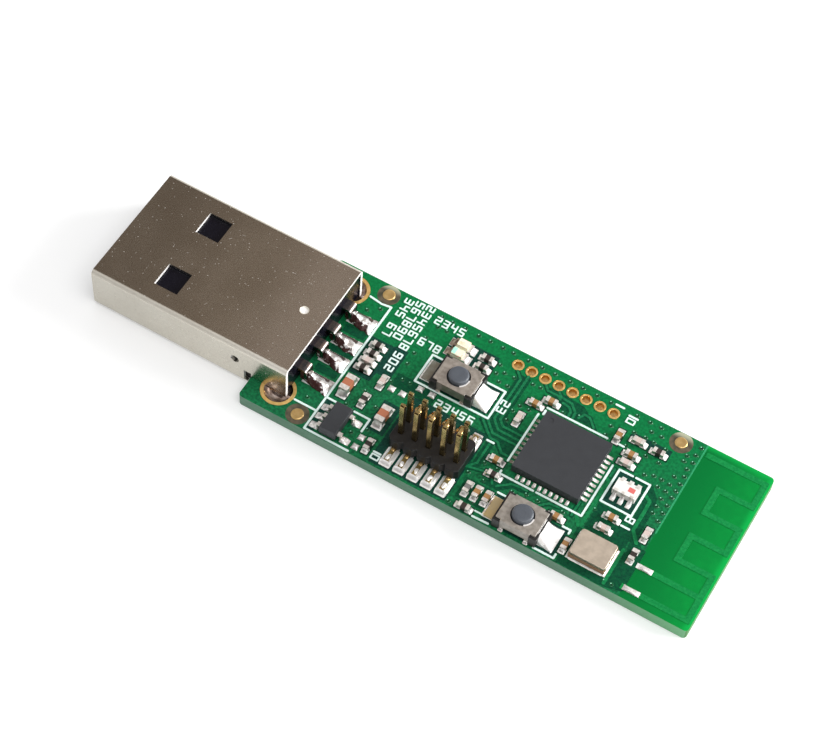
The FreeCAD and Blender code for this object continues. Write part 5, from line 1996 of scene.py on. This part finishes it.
@dataclass
class Studio:
    """The pale floor, the lamps, the backdrop and the camera."""

    eye: Place = (42.155, -89.62, 156.38)
    right: Place = (0.8643, 0.5003, 0.052)
    up: Place = (-0.4451, 0.7125, 0.5424)
    lens: float = 97.25
    sensor: float = 36.0
    clip: Point = (0.01, 10.0)
    floor_size: float = 3.0
    floor_drop: float = 0.02
    floor_colour: Colour = (0.78, 0.78, 0.78)
    floor_rough: float = 0.9
    floor_glow: float = 0.27
    room: float = 0.68
    card_middle: float = -0.21
    card_soft: float = 0.05
    cards: tuple[Card, ...] = (
        Card("ceiling_card", 0.8, (-0.14, 0.29, 0.5), (0.2, 0.156, 0.13), (0.345, 0.277, 0.237)),
        Card("near_card", 0.5, (-0.12, -0.45, 0.26), (0.07, 0.05, 0.045), (0.07, 0.05, 0.045)),
    )
    lamps: tuple[Lamp, ...] = (
        Lamp("key_lamp", (0.33, 0.196, 0.13), 0.2, 2.2),
        Lamp("top_lamp", (0.17, -0.05, 0.44), 0.25, 0.65),
    )

    def camera(self) -> None:
        """Makes the camera at the photograph's viewing angle."""
        data = bpy.data.cameras.new("camera")
        data.lens = self.lens
        data.sensor_width = self.sensor
        data.clip_start, data.clip_end = self.clip
        camera = bpy.data.objects.new("camera", data)
        right, up = Vector(self.right).normalized(), Vector(self.up)
        up = (up - right * up.dot(right)).normalized()
        turn = Matrix((right, up, right.cross(up))).transposed().to_4x4()
        camera.matrix_world = Matrix.Translation(Vector(self.eye) * MM) @ turn
        bpy.context.scene.collection.objects.link(camera)
        bpy.context.scene.camera = camera

    def seen(self, graph: Graph) -> Wire:
        """Finds the rays that see the backdrop itself or through glass and metal.

        Args:
            graph: The graph to add to.

        Returns:
            1 for such rays, 0 for others.
        """
        made = graph.node("ShaderNodeLightPath")
        names = ("Is Camera Ray", "Is Glossy Ray", "Is Transmission Ray")
        camera, glossy, through = (Wire(graph, made.outputs[name]) for name in names)
        return camera.larger(glossy).larger(through)

    def world(self) -> None:
        """Makes the even light of the room and the white backdrop."""
        world = bpy.data.worlds.new("room")
        bpy.context.scene.world = world
        graph = Graph(world)
        seen = self.seen(graph)
        strength = seen + (1 - seen) * self.room
        shader = graph.wire("ShaderNodeBackground", None, {"Color": (1.0, 1.0, 1.0), "Strength": strength})
        graph.node("ShaderNodeOutputWorld", None, {"Surface": shader})

    def plane(self, name: str, size: float, place: Vector, toward: Vector) -> bpy.types.Object:
        """Makes a flat sheet that belongs to the studio.

        Args:
            name: Its name.
            size: Its side in metres.
            place: Its middle.
            toward: The point that it faces.

        Returns:
            The sheet.
        """
        half = size / 2
        mesh = bpy.data.meshes.new(name)
        mesh.from_pydata([(x, y, 0.0) for x, y in patch(-half, -half, half, half)], [], [(0, 1, 2, 3)])
        sheet = bpy.data.objects.new(name, mesh)
        sheet.location = place
        sheet.rotation_euler = (toward - place).to_track_quat("Z", "Y").to_euler()
        bpy.context.scene.collection.objects.link(sheet)
        sheet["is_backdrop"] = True
        return sheet

    def floor(self) -> None:
        """Makes the floor, which shows white and keeps the shadow."""
        place = Vector((0.0, 0.0, -self.floor_drop * MM))
        floor = self.plane("floor", self.floor_size, place, place + Vector((0.0, 0.0, 1.0)))
        material = bpy.data.materials.new("pale_floor")
        graph = Graph(material)
        glow = self.seen(graph) * self.floor_glow
        more = {
            "Specular IOR Level": 0.0,
            "Emission Color": (1.0, 1.0, 1.0),
            "Emission Strength": glow,
        }
        graph.surface(self.floor_colour, self.floor_rough, more)
        floor.data.materials.append(material)

    def hang(self, card: Card) -> None:
        """Hangs a card.

        Args:
            card: The card.
        """
        sheet = self.plane(card.name, card.size, Vector(card.place), Vector())
        material = bpy.data.materials.new(card.name + "_grey")
        graph = Graph(material)
        x, _, _ = graph.parts(graph.wire("ShaderNodeNewGeometry", output="Position"))
        share = x.above(self.card_middle, self.card_soft)
        colour = graph.blend(share, card.plug_end, card.antenna_end)
        shader = graph.wire("ShaderNodeEmission", None, {"Color": colour, "Strength": 1.0})
        graph.node("ShaderNodeOutputMaterial", None, {"Surface": shader})
        sheet.data.materials.append(material)
        sheet.visible_camera = False
        sheet.visible_diffuse = False
        sheet.visible_shadow = False
        sheet.visible_transmission = False

    def light(self, lamp: Lamp) -> None:
        """Adds a lamp.

        Args:
            lamp: The lamp.
        """
        data = bpy.data.lights.new(lamp.name, "AREA")
        data.shape = "SQUARE"
        data.size = lamp.size
        data.energy = lamp.power
        made = bpy.data.objects.new(lamp.name, data)
        made.location = lamp.place
        made.rotation_euler = (-Vector(lamp.place)).to_track_quat("-Z", "Y").to_euler()
        bpy.context.scene.collection.objects.link(made)

    def build(self) -> None:
        """Makes the whole studio."""
        self.camera()
        self.world()
        self.floor()
        for card in self.cards:
            self.hang(card)
        for lamp in self.lamps:
            self.light(lamp)


def main() -> None:
    """Builds the looks of the whole stick."""
    logging.basicConfig(level=logging.INFO, format="%(name)s %(message)s")
    scene = bpy.context.scene
    for stray in [o for o in scene.objects if o.type in ("MESH", "LIGHT", "CAMERA")]:
        bpy.data.objects.remove(stray)
    model = Model()
    parts = [
        BoardPrint(model),
        Plug(model),
        Header(model),
        RadioChip(model),
        Regulator(model),
        # Each switch's terminal finish is a painted reflection.
        PushSwitch(model, "reset_switch", "reset_button", "reset_press", SHADED_GREEN_TIN, COVER),
        PushSwitch(model, "user_switch", "user_button", "user_press", GOLD_REFLECTION_TAB, BRIGHT_COVER),
        ChipParts(model),
        Diodes(model),
        Crystal(model),
        Balun(model),
        Aerial(model),
    ]
    for part in parts:
        part.build()
    Studio().build()
    scene.view_settings.view_transform = "Standard"


if __name__ == "__main__":
    main()
